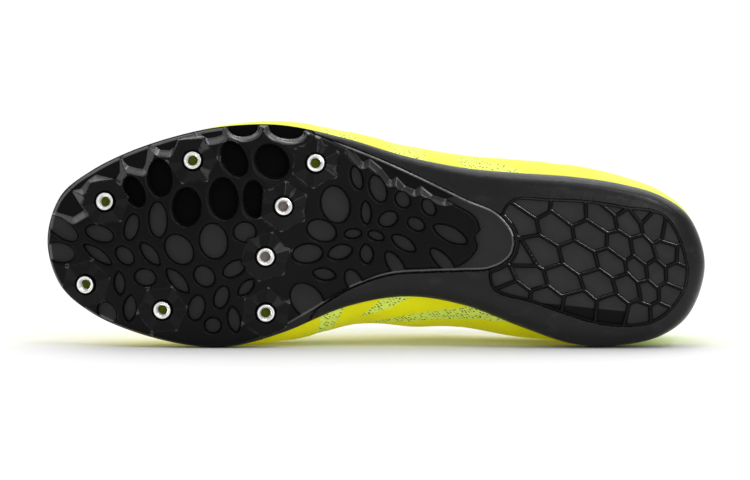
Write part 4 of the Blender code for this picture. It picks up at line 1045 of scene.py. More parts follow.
pad_outer = smooth_side([share_point(row) for row in PAD_EDGE[:8]], 0.6 * MM)
pad_inner = smooth_side([share_point(row) for row in [PAD_EDGE[0]] + PAD_EDGE[:6:-1]], 0.6 * MM)
pad_outline = np.concatenate([pad_outer, pad_inner[-2:0:-1]])
pad_fall = pad_inner[int(0.21 * len(pad_inner)):]
tail_outline = moved_out(plate_outline, PAD_TAIL_GAP)
pad_edge = distance_to([pad_outline, tail_outline])
pad_rim = distance_to([pad_outline])
cell_middles = np.array([from_inner_line(row) for row in CELLS])


def pad_material(points):
    """Where the pad is not cut away for the plate's tail."""
    return inside(points, pad_outline) & ~inside(points, tail_outline)


def cell_lines(middle):
    """Lines midway to the other cells, as directions out of a cell and distances along them."""
    others = cell_middles[(cell_middles != middle).any(1)]
    halfway = 0.5 * (middle + others)
    along = halfway[:, 0] / MM
    across = (halfway[:, 1] - from_inner_line(Plan(0, 0))[1]) / MM
    lean = np.interp(along, LEAN_ALONG, (0, 1)) * np.interp(across, LEAN_ACROSS, (0, 1, 1, 0))
    front = np.interp(along, LEAN_FRONT, (0, 1))
    shear = lean * (SHEAR + FRONT_SHEAR * front)
    squeeze = 1 + lean * (SQUEEZE + FRONT_SQUEEZE * front)
    step = others - middle
    out = np.stack((step[:, 0] + shear * step[:, 1], shear * step[:, 0] + squeeze * step[:, 1]), axis=1)
    out /= np.linalg.norm(out, axis=1, keepdims=True)
    return out, (out * halfway).sum(1)


def cell_outline(middle, gap):
    """Outline of one cell, a gap away from the lines to its neighbours."""
    square = ((-1, -1), (1, -1), (1, 1), (-1, 1))
    polygon = [middle + CELL_REACH * np.array(corner) for corner in square]
    for out, limit in zip(*cell_lines(middle)):
        kept = []
        for here, after in zip(polygon, polygon[1:] + polygon[:1]):
            side = out @ here - limit + gap
            following = out @ after - limit + gap
            if side <= 0:
                kept.append(here)
            if side * following < 0:
                kept.append(here + side / (side - following) * (after - here))
        polygon = kept
    return np.array(polygon)


def cell_inset(spots):
    """Distance inwards from the edge of the cell that a point lies in, negative on the ribs."""
    inset = np.full(len(spots), -1.0)
    for middle in cell_middles:
        out, limits = cell_lines(middle)
        inset = np.maximum(inset, (limits - spots @ out.T).min(1))
    return np.minimum(inset - 0.5 * CELL_RIB, pad_edge(spots) - FRAME_WIDTH)


def pad_face(spots):
    """The pad's face: ribs with rounded edges, and cells with steep walls."""
    inset = cell_inset(spots)
    edge = np.interp(spots[:, 0], pad_fall[:, 0], pad_fall[:, 1])
    fall = CELL_FALL * np.clip(1 - (spots[:, 1] - edge) / CELL_FALL_WIDTH, 0, 1) ** 2
    floor = np.minimum(CELL_DEPTH + fall, PAD_HIGH - PAD_SHEET)
    brow = 0.8 * CELL_ROUND * rounded(np.maximum(-inset, 0), CELL_ROUND)
    brow = np.maximum(brow, RIM_RISE * np.clip(1.15 - pad_rim(spots) / FRAME_WIDTH, 0, 1))
    depth = np.where(inset > 0, brow + np.clip(inset / CELL_WALL, 0, 1) * (floor - brow), brow)
    return layer(0.0)(spots) + depth


wall_insets = (-0.8 * CELL_ROUND, -0.3 * CELL_ROUND, 0.0, CELL_WALL, 2 * CELL_WALL)
cell_points = [closed_steps(cell_outline(middle, 0.5 * CELL_RIB + inset), 0.4 * MM)
               for middle in cell_middles for inset in wall_insets]
frame_points = [moved_out(loop, side * (FRAME_WIDTH + inset))
                for loop, side in ((pad_outline, -1), (tail_outline, 1))
                for inset in (-0.8 * MM, *wall_insets)]
shade_line_ends = np.array([from_inner_line(row) for row in PAINTED_SHADE_LINE])
shade_line = [even_steps(shade_line_ends + (0.0, rise), 0.35 * MM) for rise in (0.0, PAINTED_SHADE_FADE)]
pad_points = np.concatenate(cell_points + frame_points + shade_line + [hexagonal_fill(pad_outline, 2 * MM)])
pad_points = thinned(pad_points[pad_material(pad_points)], np.concatenate([pad_outline, tail_outline]),
                     0.04 * MM)
rubber, shade = new_finish("black_rubber", Base_Color=RUBBER_COLOUR, Specular_IOR_Level=0.1)
grain = shade.noise(0.4 * MM, 3.0)
wear = shade.noise(11 * MM, 4.0)
shade.feed(Roughness=0.24 + 0.16 * wear + 0.05 * grain, Normal=shade.bump(grain, 0.03 * MM, 0.7))
matt, shade = new_finish("cell_floor", Specular_IOR_Level=0.12)
cloud = shade.noise(7 * MM, 4.0)
grain = shade.noise(0.35 * MM, 2.0)
floor = cloud.vary(CELL_COLOUR, 0.7, 1.3)
# Cell floors turn black inwards of the painted shade line.
shade.feed(Base_Color=shade.attribute("painted_shade").mix(floor, toned(CELL_COLOUR, 0.02)),
           Roughness=0.5 + 0.12 * grain, Normal=shade.bump(grain, 0.02 * MM, 0.6))
pad_frame, shade = new_finish("pad_frame", Base_Color=toned(RUBBER_COLOUR, 1.4),
                              Specular_IOR_Level=0.11)
shade.feed(Roughness=0.3 + 0.15 * shade.noise(5 * MM, 3.0))
# A glossier copy of the rubber for the walls that face the key light: painted glints.
glint_wall, shade = new_finish("glint_wall", Base_Color=RUBBER_COLOUR, Specular_IOR_Level=1.0, IOR=1.9)
shade.feed(Roughness=0.1 + 0.2 * shade.noise(6 * MM, 3.0).step(0.35, 0.65))
pad_mesh = moulding("heel_pad_cells", [pad_outline, tail_outline], pad_points, pad_material, pad_face,
                    layer(PAD_HIGH), 3 * MM)
pad_centres = face_centres(pad_mesh)
pad_inset = cell_inset(pad_centres[:, :2])
from_rim = pad_rim(pad_centres[:, :2])
on_face = pad_centres[:, 2] < layer(PAD_HIGH - 0.5 * PAD_SHEET)(pad_centres[:, :2])
pad_finish = np.where(on_face & (pad_inset > CELL_WALL), 1, 0)
pad_tilt = np.array([face.normal.xy.normalized() for face in pad_mesh.polygons])
lit = on_face & (pad_tilt @ LIT_SIDE > LIT_SHARE) & (from_rim > CELL_RIB)
pad_finish[lit & (pad_inset > -CELL_ROUND) & (pad_inset <= CELL_WALL)] = 2
pad_finish[(pad_inset < 0) & (from_rim < FRAME_WIDTH)] = 3
set_finish(pad_mesh, pad_finish)


def set_values(mesh, name, values):
    """Let a mesh carry a value at each of its points."""
    mesh.attributes.new(name, "FLOAT", "POINT").data.foreach_set("value", values)


pad_spots = np.array([vertex.co for vertex in pad_mesh.vertices])
painted_shade_edge = np.interp(pad_spots[:, 0], shade_line[0][:, 0], shade_line[0][:, 1])
painted_shade = np.clip(1 - (pad_spots[:, 1] - painted_shade_edge) / PAINTED_SHADE_FADE, 0, 1)
painted_shade[(pad_spots[:, 0] < shade_line[0][0, 0]) | (pad_spots[:, 0] > shade_line[0][-1, 0])] = 0.0
set_values(pad_mesh, "painted_shade", painted_shade)
pad = add_piece("heel_pad_cells", pad_mesh, "black_rubber", ["heel_pad"], rubber, matt, glint_wall, pad_frame)
pad.data.set_sharp_from_angle(angle=math.radians(50))


# Midsole: one full-length piece of black foam with a satin skin. Its edge is rounded under the
# waist and the heel, and shallow recesses in it hold the plate and the heel pad.
PLATE_SEAT = PLATE_HIGH + 1.3 * FIT_GAP
PLATE_SEAT_GAP = 0.4 * MM
SEAT_OPENING = 7 * MM
OPENING_START = 0.59
OPENING_RUN = 0.04
PAD_SEAT = PAD_HIGH + FIT_GAP
PAD_SEAT_GAP = 0.12 * MM
SEAT_WALL = 0.25 * MM
SEAT_LIP = 0.3 * MM
FOAM_COLOUR = (0.0006, 0.0006, 0.0008)
WORN_FOAM = (0.0085, 0.0080, 0.0080)

# Insets from the sole's edge, in millimetres, and how far the underside has risen there
# towards the middle of the side wall.
EdgeRound = namedtuple("EdgeRound", "inset rise")
EDGE_ROUND = [
    EdgeRound(0.0, 1.00),
    EdgeRound(0.5, 0.62),
    EdgeRound(1.2, 0.40),
    EdgeRound(2.4, 0.22),
    EdgeRound(4.0, 0.11),
    EdgeRound(6.5, 0.03),
    EdgeRound(9.0, 0.00),
]

sole_outline = closed_steps(edge_point(LOOP_FINE, 0.0), 0.8 * MM)
sole_edge = distance_to([sole_outline])
opening = np.clip((plate_outline[:, 0] / SOLE_LENGTH - OPENING_START) / OPENING_RUN, 0, 1)
plate_seat = moved_out(plate_outline, PLATE_SEAT_GAP + SEAT_OPENING * opening)
pad_seat = moved_out(pad_outline, PAD_SEAT_GAP)
SEATS = [(plate_seat, PLATE_SEAT, distance_to([plate_seat])), (pad_seat, PAD_SEAT, distance_to([pad_seat]))]


def bed_height(spots):
    """Height of the midsole's top."""
    return curve_through(PROFILE_KNOTS, PROFILE_ROWS, spots[:, 0])[:, 1]


def midsole_face(spots):
    """The midsole's underside, rounded towards its edge and recessed."""
    rim = layer(RIM_RISE)(spots)
    rise = np.interp(sole_edge(spots), [row.inset * MM for row in EDGE_ROUND],
                     [row.rise for row in EDGE_ROUND])
    height = rim + 0.5 * rise * (bed_height(spots) - rim)
    recessed = height.copy()
    for loop, depth, edge in SEATS:
        held = inside(spots, loop)
        away = edge(spots)
        wall = np.clip(away / SEAT_WALL, 0, 1)
        seat = height + wall * (layer(depth)(spots) - height)
        lip = height + 0.4 * SEAT_LIP * rounded(away, SEAT_LIP)
        recessed = np.maximum(recessed, np.where(held, seat, lip))
    return recessed


def midsole_back(spots):
    """The midsole's side wall and its flat top."""
    rim = layer(RIM_RISE)(spots)
    bed = bed_height(spots)
    low = 0.5 * (rim + bed)
    low = np.where(inside(spots, plate_seat), np.maximum(low, layer(PLATE_SEAT)(spots)), low)
    share = np.interp(sole_edge(spots), (0.10 * MM, 0.14 * MM, 0.7 * MM), (0.0, 0.88, 1.0))
    return low + share * (bed - low)


seat_points = [moved_out(loop, out * MM) for loop, *_ in SEATS for out in (-0.25, -0.6, 0.12, 0.3, 0.5)]
round_points = [moved_out(sole_outline, -inset * MM)
                for inset in (0.2, 0.5, 0.85, 1.2, 1.8, 2.4, 3.2, 4.0, 5.2)]
midsole_points = np.concatenate(seat_points + round_points + [hexagonal_fill(sole_outline, 2.5 * MM)])
midsole_points = thinned(midsole_points[inside(midsole_points, sole_outline)],
                         np.concatenate([sole_outline, plate_seat, pad_seat]), 0.1 * MM)
wall_rings = np.concatenate([moved_out(sole_outline, -inset * MM) for inset in (0.15, 0.4, 0.7, 2.0)])
foam, shade = new_finish("black_foam", Specular_IOR_Level=0.30)
skin = shade.noise(0.8 * MM, 4.0)
scuffs = shade.noise(18 * MM, 5.0, (0.4, 1.0, 1.0))
lumps = shade.noise(2.6 * MM, 3.0)
worn = shade.noise(4.5 * MM, 6.0, (0.5, 1.0, 1.0)).step(0.52, 0.74)
shade.feed(Base_Color=worn.mix(FOAM_COLOUR, WORN_FOAM), Roughness=0.16 + 0.14 * scuffs + 0.2 * lumps,
           Normal=shade.bump(0.5 * skin + 0.5 * lumps, 0.26 * MM, 0.7))
recess, shade = new_finish("black_recess", Specular_IOR_Level=0.05)
grit = shade.noise(0.6 * MM, 3.0)
shade.feed(Base_Color=grit.vary(FOAM_COLOUR, 0.5, 2),
           Roughness=0.6 + 0.2 * grit)
midsole_mesh = moulding("midsole_foam", [sole_outline, plate_seat, pad_seat], midsole_points,
                        lambda points: inside(points, sole_outline), midsole_face, midsole_back, 4 * MM,
                        wall_rings)
midsole_centres = face_centres(midsole_mesh)
in_seat = np.any([inside(midsole_centres[:, :2], moved_out(loop, MM)) for loop in deep_loops], axis=0)
in_seat &= midsole_centres[:, 2] < layer(PLATE_SEAT + FIT_GAP)(midsole_centres[:, :2])
set_finish(midsole_mesh, in_seat)
midsole = add_piece("midsole_foam", midsole_mesh, "black_foam", ["midsole"], foam, recess)
midsole.data.set_sharp_from_angle(angle=math.radians(55))


# Insole: a thin foam board faced with dark textile, glued on the midsole inside the upper.
FEATHER_INSET = 1.0 * MM
UPPER_WALL = 1.8 * MM
INSOLE_THICKNESS = 3.5 * MM
INSOLE_ROUND = 1.6 * MM
LINING_COLOUR = (0.030, 0.030, 0.032)

insole_outline = closed_steps(edge_point(LOOP_FINE, FEATHER_INSET + UPPER_WALL + 1.2 * MM), 1.2 * MM)
insole_edge = distance_to([insole_outline])


def insole_base(spots):
    """The insole's underside, on the midsole."""
    return bed_height(spots) + FIT_GAP


def insole_top(spots):
    """The insole's top, rounded at its edge."""
    drop = 0.5 * rounded(insole_edge(spots), INSOLE_ROUND)
    return insole_base(spots) + INSOLE_THICKNESS * (1 - drop)


insole_rings = np.concatenate([moved_out(insole_outline, -inset * MM) for inset in (0.2, 0.6, 1.1, 1.6)])
insole_points = np.concatenate([moved_out(insole_outline, -0.2 * MM), hexagonal_fill(insole_outline, 4 * MM)])
insole_points = thinned(insole_points[inside(insole_points, insole_outline)], insole_outline, 0.15 * MM)
textile, shade = new_finish("dark_textile", Sheen_Weight=0.3, Sheen_Roughness=0.6)
knit = shade.noise(0.55 * MM, 2.0)
worn = shade.noise(14 * MM, 3.0)
shade.feed(Base_Color=(0.5 * knit + 0.5 * worn).vary(LINING_COLOUR, 0.6, 1.4),
           Roughness=0.75 + 0.2 * knit, Normal=shade.bump(knit, 0.15 * MM))
insole_mesh = moulding("insole_board", [insole_outline], insole_points,
                       lambda points: inside(points, insole_outline), insole_base, insole_top, 3 * MM,
                       insole_rings)
add_piece("insole_board", insole_mesh, "grey_lining", ["insole"], textile)


# Upper: a thin hollow shell of neon yellow, drawn over the last and cemented to the midsole.
# Smooth film lies over a coarse mesh, which shows in windows low on both sides. Its dye is
# fluorescent; the upper is given a faint glow of painted light, which lightens its shaded inner side.
INSTEP_HEIGHT = 76 * MM
COLLAR_WALL = 3.6 * MM
UPPER_COLUMNS = 520
UPPER_ROWS = 66
LINING_ROWS = 22
RIM_STEPS = 5
FILM_COLOUR = (0.90, 0.89, 0.006)
SHADED_OUTER_FILM = (0.64, 0.66, 0.05)
PAINTED_GLOW = 0.11
FILM_SHADE = (0.81, 0.77, 0.005)
HEEL_COLOUR = (0.62, 0.78, 0.07)
MESH_COLOUR = (0.80, 0.96, 0.15)
HOLE_COLOUR = (0.06, 0.10, 0.01)
FILM_THICKNESS = 0.25 * MM
EYELET_SECTIONS = [10.0, 9.4, 8.8, 8.2, 7.6, 7.1]
EYELET_SHARE = 0.90
EYELET_RADIUS = 1.8 * MM
FILM_REACH = 6.0
LINING_RISE = 60.0
KNOTS_ALONG = 0.64
KNOTS_UP = 0.72

# The collar's and the throat's edge at each section of the sole's edge, in shares of the sole
# length, the ball width and the instep height.
TopEdge = namedtuple("TopEdge", "along inner outer height")
TOP_EDGE = [
    TopEdge(0.025, -0.068, -0.068, 0.934),
    TopEdge(0.033, -0.167, 0.036, 0.928),
    TopEdge(0.067, -0.281, 0.141, 0.868),
    TopEdge(0.130, -0.350, 0.208, 0.776),
    TopEdge(0.204, -0.362, 0.229, 0.737),
    TopEdge(0.288, -0.312, 0.214, 0.789),
    TopEdge(0.361, -0.229, 0.182, 0.921),
    TopEdge(0.428, -0.151, 0.167, 1.000),
    TopEdge(0.509, -0.104, 0.172, 0.934),
    TopEdge(0.589, -0.068, 0.172, 0.849),
    TopEdge(0.649, -0.042, 0.161, 0.783),
    TopEdge(0.682, -0.016, 0.141, 0.750),
    TopEdge(0.698, 0.010, 0.120, 0.734),
    TopEdge(0.707, 0.031, 0.099, 0.726),
    TopEdge(0.712, 0.048, 0.083, 0.722),
    TopEdge(0.713, 0.066, 0.066, 0.721),
]

# How the wall bows at some of the sections, in millimetres: how far it leans out over the
# sole's edge, how high that pull reaches, how far it stays out below its top edge, and how
# much lower that pull lies.
Wall = namedtuple("Wall", "section flare_in flare_out rise shoulder_in shoulder_out drop")
WALLS = [
    Wall(0, 3.0, 3.0, 22.0, 1.0, 1.0, 16.0),
    Wall(3, 2.2, 10.0, 21.0, 5.0, 6.0, 14.0),
    Wall(4, 3.5, 13.0, 21.0, 6.0, 8.0, 13.0),
    Wall(5, 13.0, 15.0, 21.0, 8.0, 10.0, 12.0),
    Wall(6, 20.0, 15.0, 21.0, 15.0, 14.0, 10.0),
    Wall(7, 26.0, 13.0, 20.0, 22.0, 20.0, 9.0),
    Wall(8, 20.0, 11.5, 20.0, 22.0, 22.0, 7.0),
    Wall(9, 16.0, 10.0, 19.5, 23.0, 23.0, 5.5),
    Wall(10, 6.0, 7.4, 19.0, 24.0, 24.0, 4.0),
    Wall(12, 3.0, 2.2, 17.0, 30.0, 27.4, 3.5),
    Wall(15, 1.5, 1.5, 16.5, 37.0, 37.0, 3.0),
]

# Windows in the film, as outlines in millimetres: along from the heel, and rise up the wall
# from the sole's edge.
Corner = namedtuple("Corner", "along rise")
INNER_WINDOWS = [
    [Corner(155.0, -2), Corner(158.5, 9), Corner(163.5, 22), Corner(168.0, 34), Corner(174.0, 34),
     Corner(171.0, 22), Corner(167.0, 9), Corner(165.5, -2)],
    [Corner(123.0, -2), Corner(130.0, 4), Corner(136.7, 8.7), Corner(148.3, 12.6), Corner(157.5, 18.5),
     Corner(152.3, 15.4), Corner(146.7, 8.8), Corner(142.4, 4.5), Corner(137.0, -2)],
    [Corner(83.0, -2), Corner(88.1, 5.0), Corner(96.1, 8.6), Corner(106.6, 14.2), Corner(122.7, 19.6),
     Corner(135.0, 22.2), Corner(147.0, 22.5), Corner(143.9, 20.2), Corner(135.4, 17.2), Corner(125.0, 13.3),
     Corner(113.3, 8.4), Corner(102.5, 2.0), Corner(100.0, -2)],
]
OUTER_WINDOWS = [
    [Corner(118.0, -2), Corner(121.5, 10), Corner(127.0, 20), Corner(136.0, 30), Corner(152.0, 35),
     Corner(167.0, 31), Corner(171.5, 20), Corner(168.0, 10), Corner(165.0, 3), Corner(150.0, 3),
     Corner(152.5, 10), Corner(153.5, 18), Corner(147.5, 22), Corner(141.0, 19), Corner(137.0, 10),
     Corner(135.5, -2)],
    [Corner(70.0, -2), Corner(80.0, 4), Corner(90.0, 8), Corner(100.0, 13), Corner(107.0, 12),
     Corner(106.0, 5), Corner(101.0, -2)],
]

# Creases, in the same measures: each runs between two points, with its width and depth.
Crease = namedtuple("Crease", "outer along rise to_along to_rise width depth")
CREASES = [
    Crease(False, 196, 14, 210, 46, 4.0, 0.9),
    Crease(False, 184, 16, 196, 50, 4.5, 0.8),
    Crease(False, 208, 14, 222, 40, 3.5, 0.7),
    Crease(False, 62, 12, 84, 30, 4.0, 0.5),
    Crease(True, 198, 12, 208, 44, 4.0, 0.9),
    Crease(True, 186, 14, 194, 48, 4.5, 0.8),
    Crease(True, 210, 12, 220, 38, 3.5, 0.7),
    Crease(True, 60, 14, 80, 32, 4.0, 0.5),
]

TOP_LOOP = loop_rows(
    [(row.along * SOLE_LENGTH, row.outer * BALL_WIDTH, row.height * INSTEP_HEIGHT) for row in TOP_EDGE],
    [(row.along * SOLE_LENGTH, row.inner * BALL_WIDTH, row.height * INSTEP_HEIGHT) for row in TOP_EDGE],
)
EVERY_SECTION = np.arange(LAST + 1)
WALL_KNOTS = [row.section for row in WALLS]
BOW_LOOP = MM * loop_rows(
    curve_through(WALL_KNOTS, [(w.flare_out, w.rise, w.shoulder_out, w.drop) for w in WALLS], EVERY_SECTION),
    curve_through(WALL_KNOTS, [(w.flare_in, w.rise, w.shoulder_in, w.drop) for w in WALLS], EVERY_SECTION),
)


def wall_point(u, v):
    """The upper's outside: u runs round the sole's edge, v from the sole to the top."""
    u, v = np.broadcast_arrays(np.asarray(u, dtype=float), np.asarray(v, dtype=float))
    foot = edge_point(u, FEATHER_INSET)
    bed = curve_through(PROFILE_KNOTS, PROFILE_ROWS, foot[..., 0])[..., 1:2]
    foot = np.concatenate([foot, bed + 2 * FIT_GAP], axis=-1)
    out = np.concatenate([edge_normal(u), np.zeros_like(bed)], axis=-1)
    up = np.array((0.0, 0.0, 1.0))
    flare, rise, shoulder, drop = np.split(curve_through(LOOP_KNOTS, BOW_LOOP, u % LOOP_LENGTH), 4, axis=-1)
    top = curve_through(LOOP_KNOTS, TOP_LOOP, u % LOOP_LENGTH)
    low_pull = foot + flare * out + rise * up
    high_pull = top + shoulder * out - drop * up
    v = v[..., None]
    near = (1 - v) ** 3 * foot + 3 * v * (1 - v) ** 2 * low_pull
    return near + 3 * v * v * (1 - v) * high_pull + v ** 3 * top


def unit(vectors):
    """Vectors brought to length 1."""
    return vectors / np.linalg.norm(vectors, axis=-1, keepdims=True)


def wall_normal(u, v):
    """Outward direction of the upper's outside."""
    u, v = np.asarray(u, dtype=float), np.asarray(v, dtype=float)
    round_edge = wall_point(u + 0.05, v) - wall_point(u - 0.05, v)
    upwards = wall_point(u, np.minimum(v + 0.01, 1.0)) - wall_point(u, v - 0.01)
    return unit(np.cross(upwards, round_edge))


def wall_thickness(u, v):
    """The upper's wall, padded at the collar."""
    section = np.minimum(u, LOOP_LENGTH - u)
    collar = np.clip((5.6 - section) / 2.0, 0, 1)
    raised = np.clip((v - 0.55) / 0.3, 0, 1)
    return UPPER_WALL + (COLLAR_WALL - UPPER_WALL) * collar * raised


def grid_mesh(name, rows, closed_rows, closed_columns):
    """A mesh of quads through rows of points."""
    count, width = rows.shape[:2]
    numbers = np.arange(count * width).reshape(count, width)
    if closed_rows:
        numbers = np.concatenate([numbers, numbers[:1]])
    if closed_columns:
        numbers = np.concatenate([numbers, numbers[:, :1]], axis=1)
    quads = np.stack((numbers[:-1, :-1], numbers[1:, :-1], numbers[1:, 1:], numbers[:-1, 1:]), axis=-1)
    mesh = bpy.data.meshes.new(name)
    mesh.from_pydata(rows.reshape(-1, 3), [], quads.reshape(-1, 4).tolist())
    return mesh


def wall_measures(points):
    """Along and rise of a grid of points on the wall, in millimetres."""
    steps = np.linalg.norm(np.diff(points, axis=0), axis=-1)
    rise = np.concatenate([np.zeros((1, points.shape[1])), np.cumsum(steps, axis=0)]) / MM
    return np.stack((points[..., 0] / MM, rise), axis=-1)


def window_depth(measures, windows):
    """Distance inwards from the nearest window's edge, negative on the film."""
    flat = measures.reshape(-1, 2)
    depth = np.full(len(flat), -FILM_REACH)
    for corners in windows:
        loop = smooth_side([*corners, corners[0]], 0.5)[:-1]
        near = (flat > loop.min(0) - FILM_REACH) & (flat < loop.max(0) + FILM_REACH)
        near = np.flatnonzero(near.all(1))
        apart = np.linalg.norm(flat[near, None] - loop, axis=2).min(1)
        depth[near] = np.maximum(depth[near], np.where(inside(flat[near], loop), apart, -apart))
    return depth.reshape(measures.shape[:2])


def crease_lift(measures, crease):
    """A soft trough along a crease, with a low ridge on either side."""
    start = np.array((crease.along, crease.rise))
    way = np.array((crease.to_along, crease.to_rise)) - start
    share = np.clip((measures - start) @ way / (way @ way), 0, 1)
    apart = np.linalg.norm(measures - start - share[..., None] * way, axis=-1) / crease.width
    fade = np.sin(math.pi * np.clip(share, 0.02, 0.98)) ** 0.5
    return -crease.depth * MM * fade * (1 - apart ** 2) * np.exp(-apart ** 2)


columns = LOOP_LENGTH * np.arange(UPPER_COLUMNS)[None, :] / UPPER_COLUMNS
outer_half = columns[0] < LAST
# How much painted shade the outer side takes, carried as the outer values.
outer_shade_weight = np.clip(0.5 + 0.8 * np.sin(2 * math.pi * columns / LOOP_LENGTH), 0, 1)
outer_share = np.linspace(0, 1, UPPER_ROWS)[:, None]
inner_share = np.linspace(1, 0, LINING_ROWS)[:, None]
outside = wall_point(columns, outer_share)
measures = wall_measures(outside)
depth = np.where(outer_half, window_depth(measures, OUTER_WINDOWS), window_depth(measures, INNER_WINDOWS))
lift = -FILM_THICKNESS * np.clip(0.5 + depth / 0.8, 0, 1)
for crease in CREASES:
    lift += np.where(outer_half == crease.outer, crease_lift(measures, crease), 0.0)
outside = outside + lift[..., None] * wall_normal(columns, outer_share)
lining = wall_point(columns, inner_share)
lining = lining - wall_thickness(columns, inner_share)[..., None] * wall_normal(columns, inner_share)
rim_half = 0.5 * (outside[-1] - lining[0])
rim_up = unit(outside[-1] - outside[-2]) * 0.6 * np.linalg.norm(rim_half, axis=-1, keepdims=True)
rim_turn = math.pi * np.arange(1, RIM_STEPS) / RIM_STEPS
rim = [0.5 * (outside[-1] + lining[0]) + math.cos(a) * rim_half + math.sin(a) * rim_up for a in rim_turn]
upper_mesh = grid_mesh("upper_shell", np.concatenate([outside, np.array(rim), lining]), True, True)

behind = (len(rim) + LINING_ROWS) * UPPER_COLUMNS
for name, values, rest in (("along", measures[..., 0], 0.0), ("rise", measures[..., 1], LINING_RISE),
                           ("window", depth, -FILM_REACH), ("outer", outer_shade_weight + 0 * depth, 0.0)):
    set_values(upper_mesh, name, np.concatenate([values.ravel(), np.full(behind, rest)]))
face_row = np.repeat(np.arange(UPPER_ROWS + len(rim) + LINING_ROWS), UPPER_COLUMNS)
lined = (face_row >= UPPER_ROWS + 1) & (face_row < UPPER_ROWS + len(rim) + LINING_ROWS - 1)
set_finish(upper_mesh, lined)


def eyelet_cutter():
    """Twelve pins through the eyelets."""
    work = bmesh.new()
    for section in EYELET_SECTIONS:
        for u in (section, LOOP_LENGTH - section):
            spot = Vector(wall_point(u, EYELET_SHARE))
            out = Vector(wall_normal(u, EYELET_SHARE))
            place = Matrix.Translation(spot) @ out.to_track_quat("Z", "Y").to_matrix().to_4x4()
            bmesh.ops.create_cone(work, cap_ends=True, segments=24, radius1=EYELET_RADIUS,
                                  radius2=EYELET_RADIUS, depth=12 * MM, matrix=place)
    mesh = bpy.data.meshes.new("eyelets")
    work.to_mesh(mesh)
    work.free()
    return bpy.data.objects.new("eyelets", mesh)


def cut(mesh, cutter):
    """A mesh with a cutter taken out of it."""
    item = bpy.data.objects.new("uncut", mesh)
    for thing in (item, cutter):
        bpy.context.scene.collection.objects.link(thing)
    hole = item.modifiers.new("holes", "BOOLEAN")
    hole.object = cutter
    hole.solver = "EXACT"
    graph = bpy.context.evaluated_depsgraph_get()
    result = bpy.data.meshes.new_from_object(item.evaluated_get(graph))
    for thing in (item, cutter):
        bpy.data.objects.remove(thing)
    return result


# The upper glows faintly with painted light of its own colour.
neon, shade = new_finish("neon_film", Specular_IOR_Level=0.2, Emission_Strength=PAINTED_GLOW)
along = shade.attribute("along")
rise = shade.attribute("rise")
opened = shade.attribute("window").step(-0.2, 0.2)
grain = shade.noise(0.9 * MM, 3.0)
cloud = shade.noise(22 * MM, 3.0)
film = cloud.step(0.25, 0.75).mix(FILM_SHADE, FILM_COLOUR)
# The outer side, uppermost under the lights, is painted a darker, paler tone: painted shade.
film = shade.attribute("outer").mix(film, SHADED_OUTER_FILM)
film = along.step(44.0, 50.0).mix(HEEL_COLOUR, film)
weave = shade.node("CombineXYZ", {}, {"X": (along + 0.5 * rise) * KNOTS_ALONG,
                                      "Y": (rise - 0.15 * along) * KNOTS_UP})
knots = {"Vector": weave, "Scale": 1.0, "Randomness": 0.6}
apart = shade.node("TexVoronoi", {"voronoi_dimensions": "2D"}, knots)
chance = shade.node("TexVoronoi", {"voronoi_dimensions": "2D"}, knots, output=1)
chance = shade.node("SeparateColor", {}, {"Color": chance})
hole = (1.0 - apart.step(0.18, 0.40)) * (0.15 + 0.85 * chance.step(0.25, 0.75))
yarn = apart.step(0.1, 0.5)
mesh_colour = hole.mix(MESH_COLOUR, HOLE_COLOUR)
dyed = opened.mix(film, mesh_colour)
shade.feed(Base_Color=dyed, Emission_Color=dyed, Roughness=0.42 + 0.12 * grain + 0.25 * opened,
           Normal=shade.bump(opened * yarn * 0.8 + (1.0 - opened) * grain * 0.15, 0.25 * MM, 0.8))
add_piece("upper_shell", cut(upper_mesh, eyelet_cutter()), "neon_upper", ["upper"], neon, textile)


# Laces: one round black cord. Its middle is the bar over the lowest eyelets, its two ends run
# through the eyelets up the throat, and they are tucked in below the top eyelets.
LACE_RADIUS = 1.4 * MM
LACE_CLEARANCE = 0.4 * MM
LACE_SIDES = 14
LACE_COLOUR = (0.012, 0.012, 0.013)
LACE_UNDER = -UPPER_WALL - LACE_RADIUS - 0.25 * MM
LACE_OVER = LACE_RADIUS + LACE_CLEARANCE


def throat_spot(side, section, share, lift):
    """A point over or under the upper by the throat, on its outer or its inner side."""
    u = section if side > 0 else LOOP_LENGTH - section
    return wall_point(u, share) + lift * wall_normal(u, min(share, 0.97))


def threaded(side, row):
    """Points of the lace down into an eyelet and out again under the throat's edge."""
    section = EYELET_SECTIONS[row]
    spots = [
        throat_spot(side, section, 0.935, LACE_OVER - 0.2 * MM),
        throat_spot(side, section, EYELET_SHARE + 0.008, 0.5 * LACE_OVER),
        throat_spot(side, section, EYELET_SHARE, -0.5 * UPPER_WALL),
        throat_spot(side, section, EYELET_SHARE + 0.008, LACE_UNDER + 0.3 * MM),
    ]
    if row + 1 == len(EYELET_SECTIONS):
        return spots + [throat_spot(side, section, EYELET_SHARE + 0.03, LACE_UNDER - 0.6 * MM)]
    onward = EYELET_SECTIONS[row + 1] - section
    return spots + [throat_spot(side, section + 0.16 * onward, 0.945, LACE_UNDER),
                    throat_spot(side, section + 0.34 * onward, 1.0, LACE_UNDER + 0.8 * MM)]


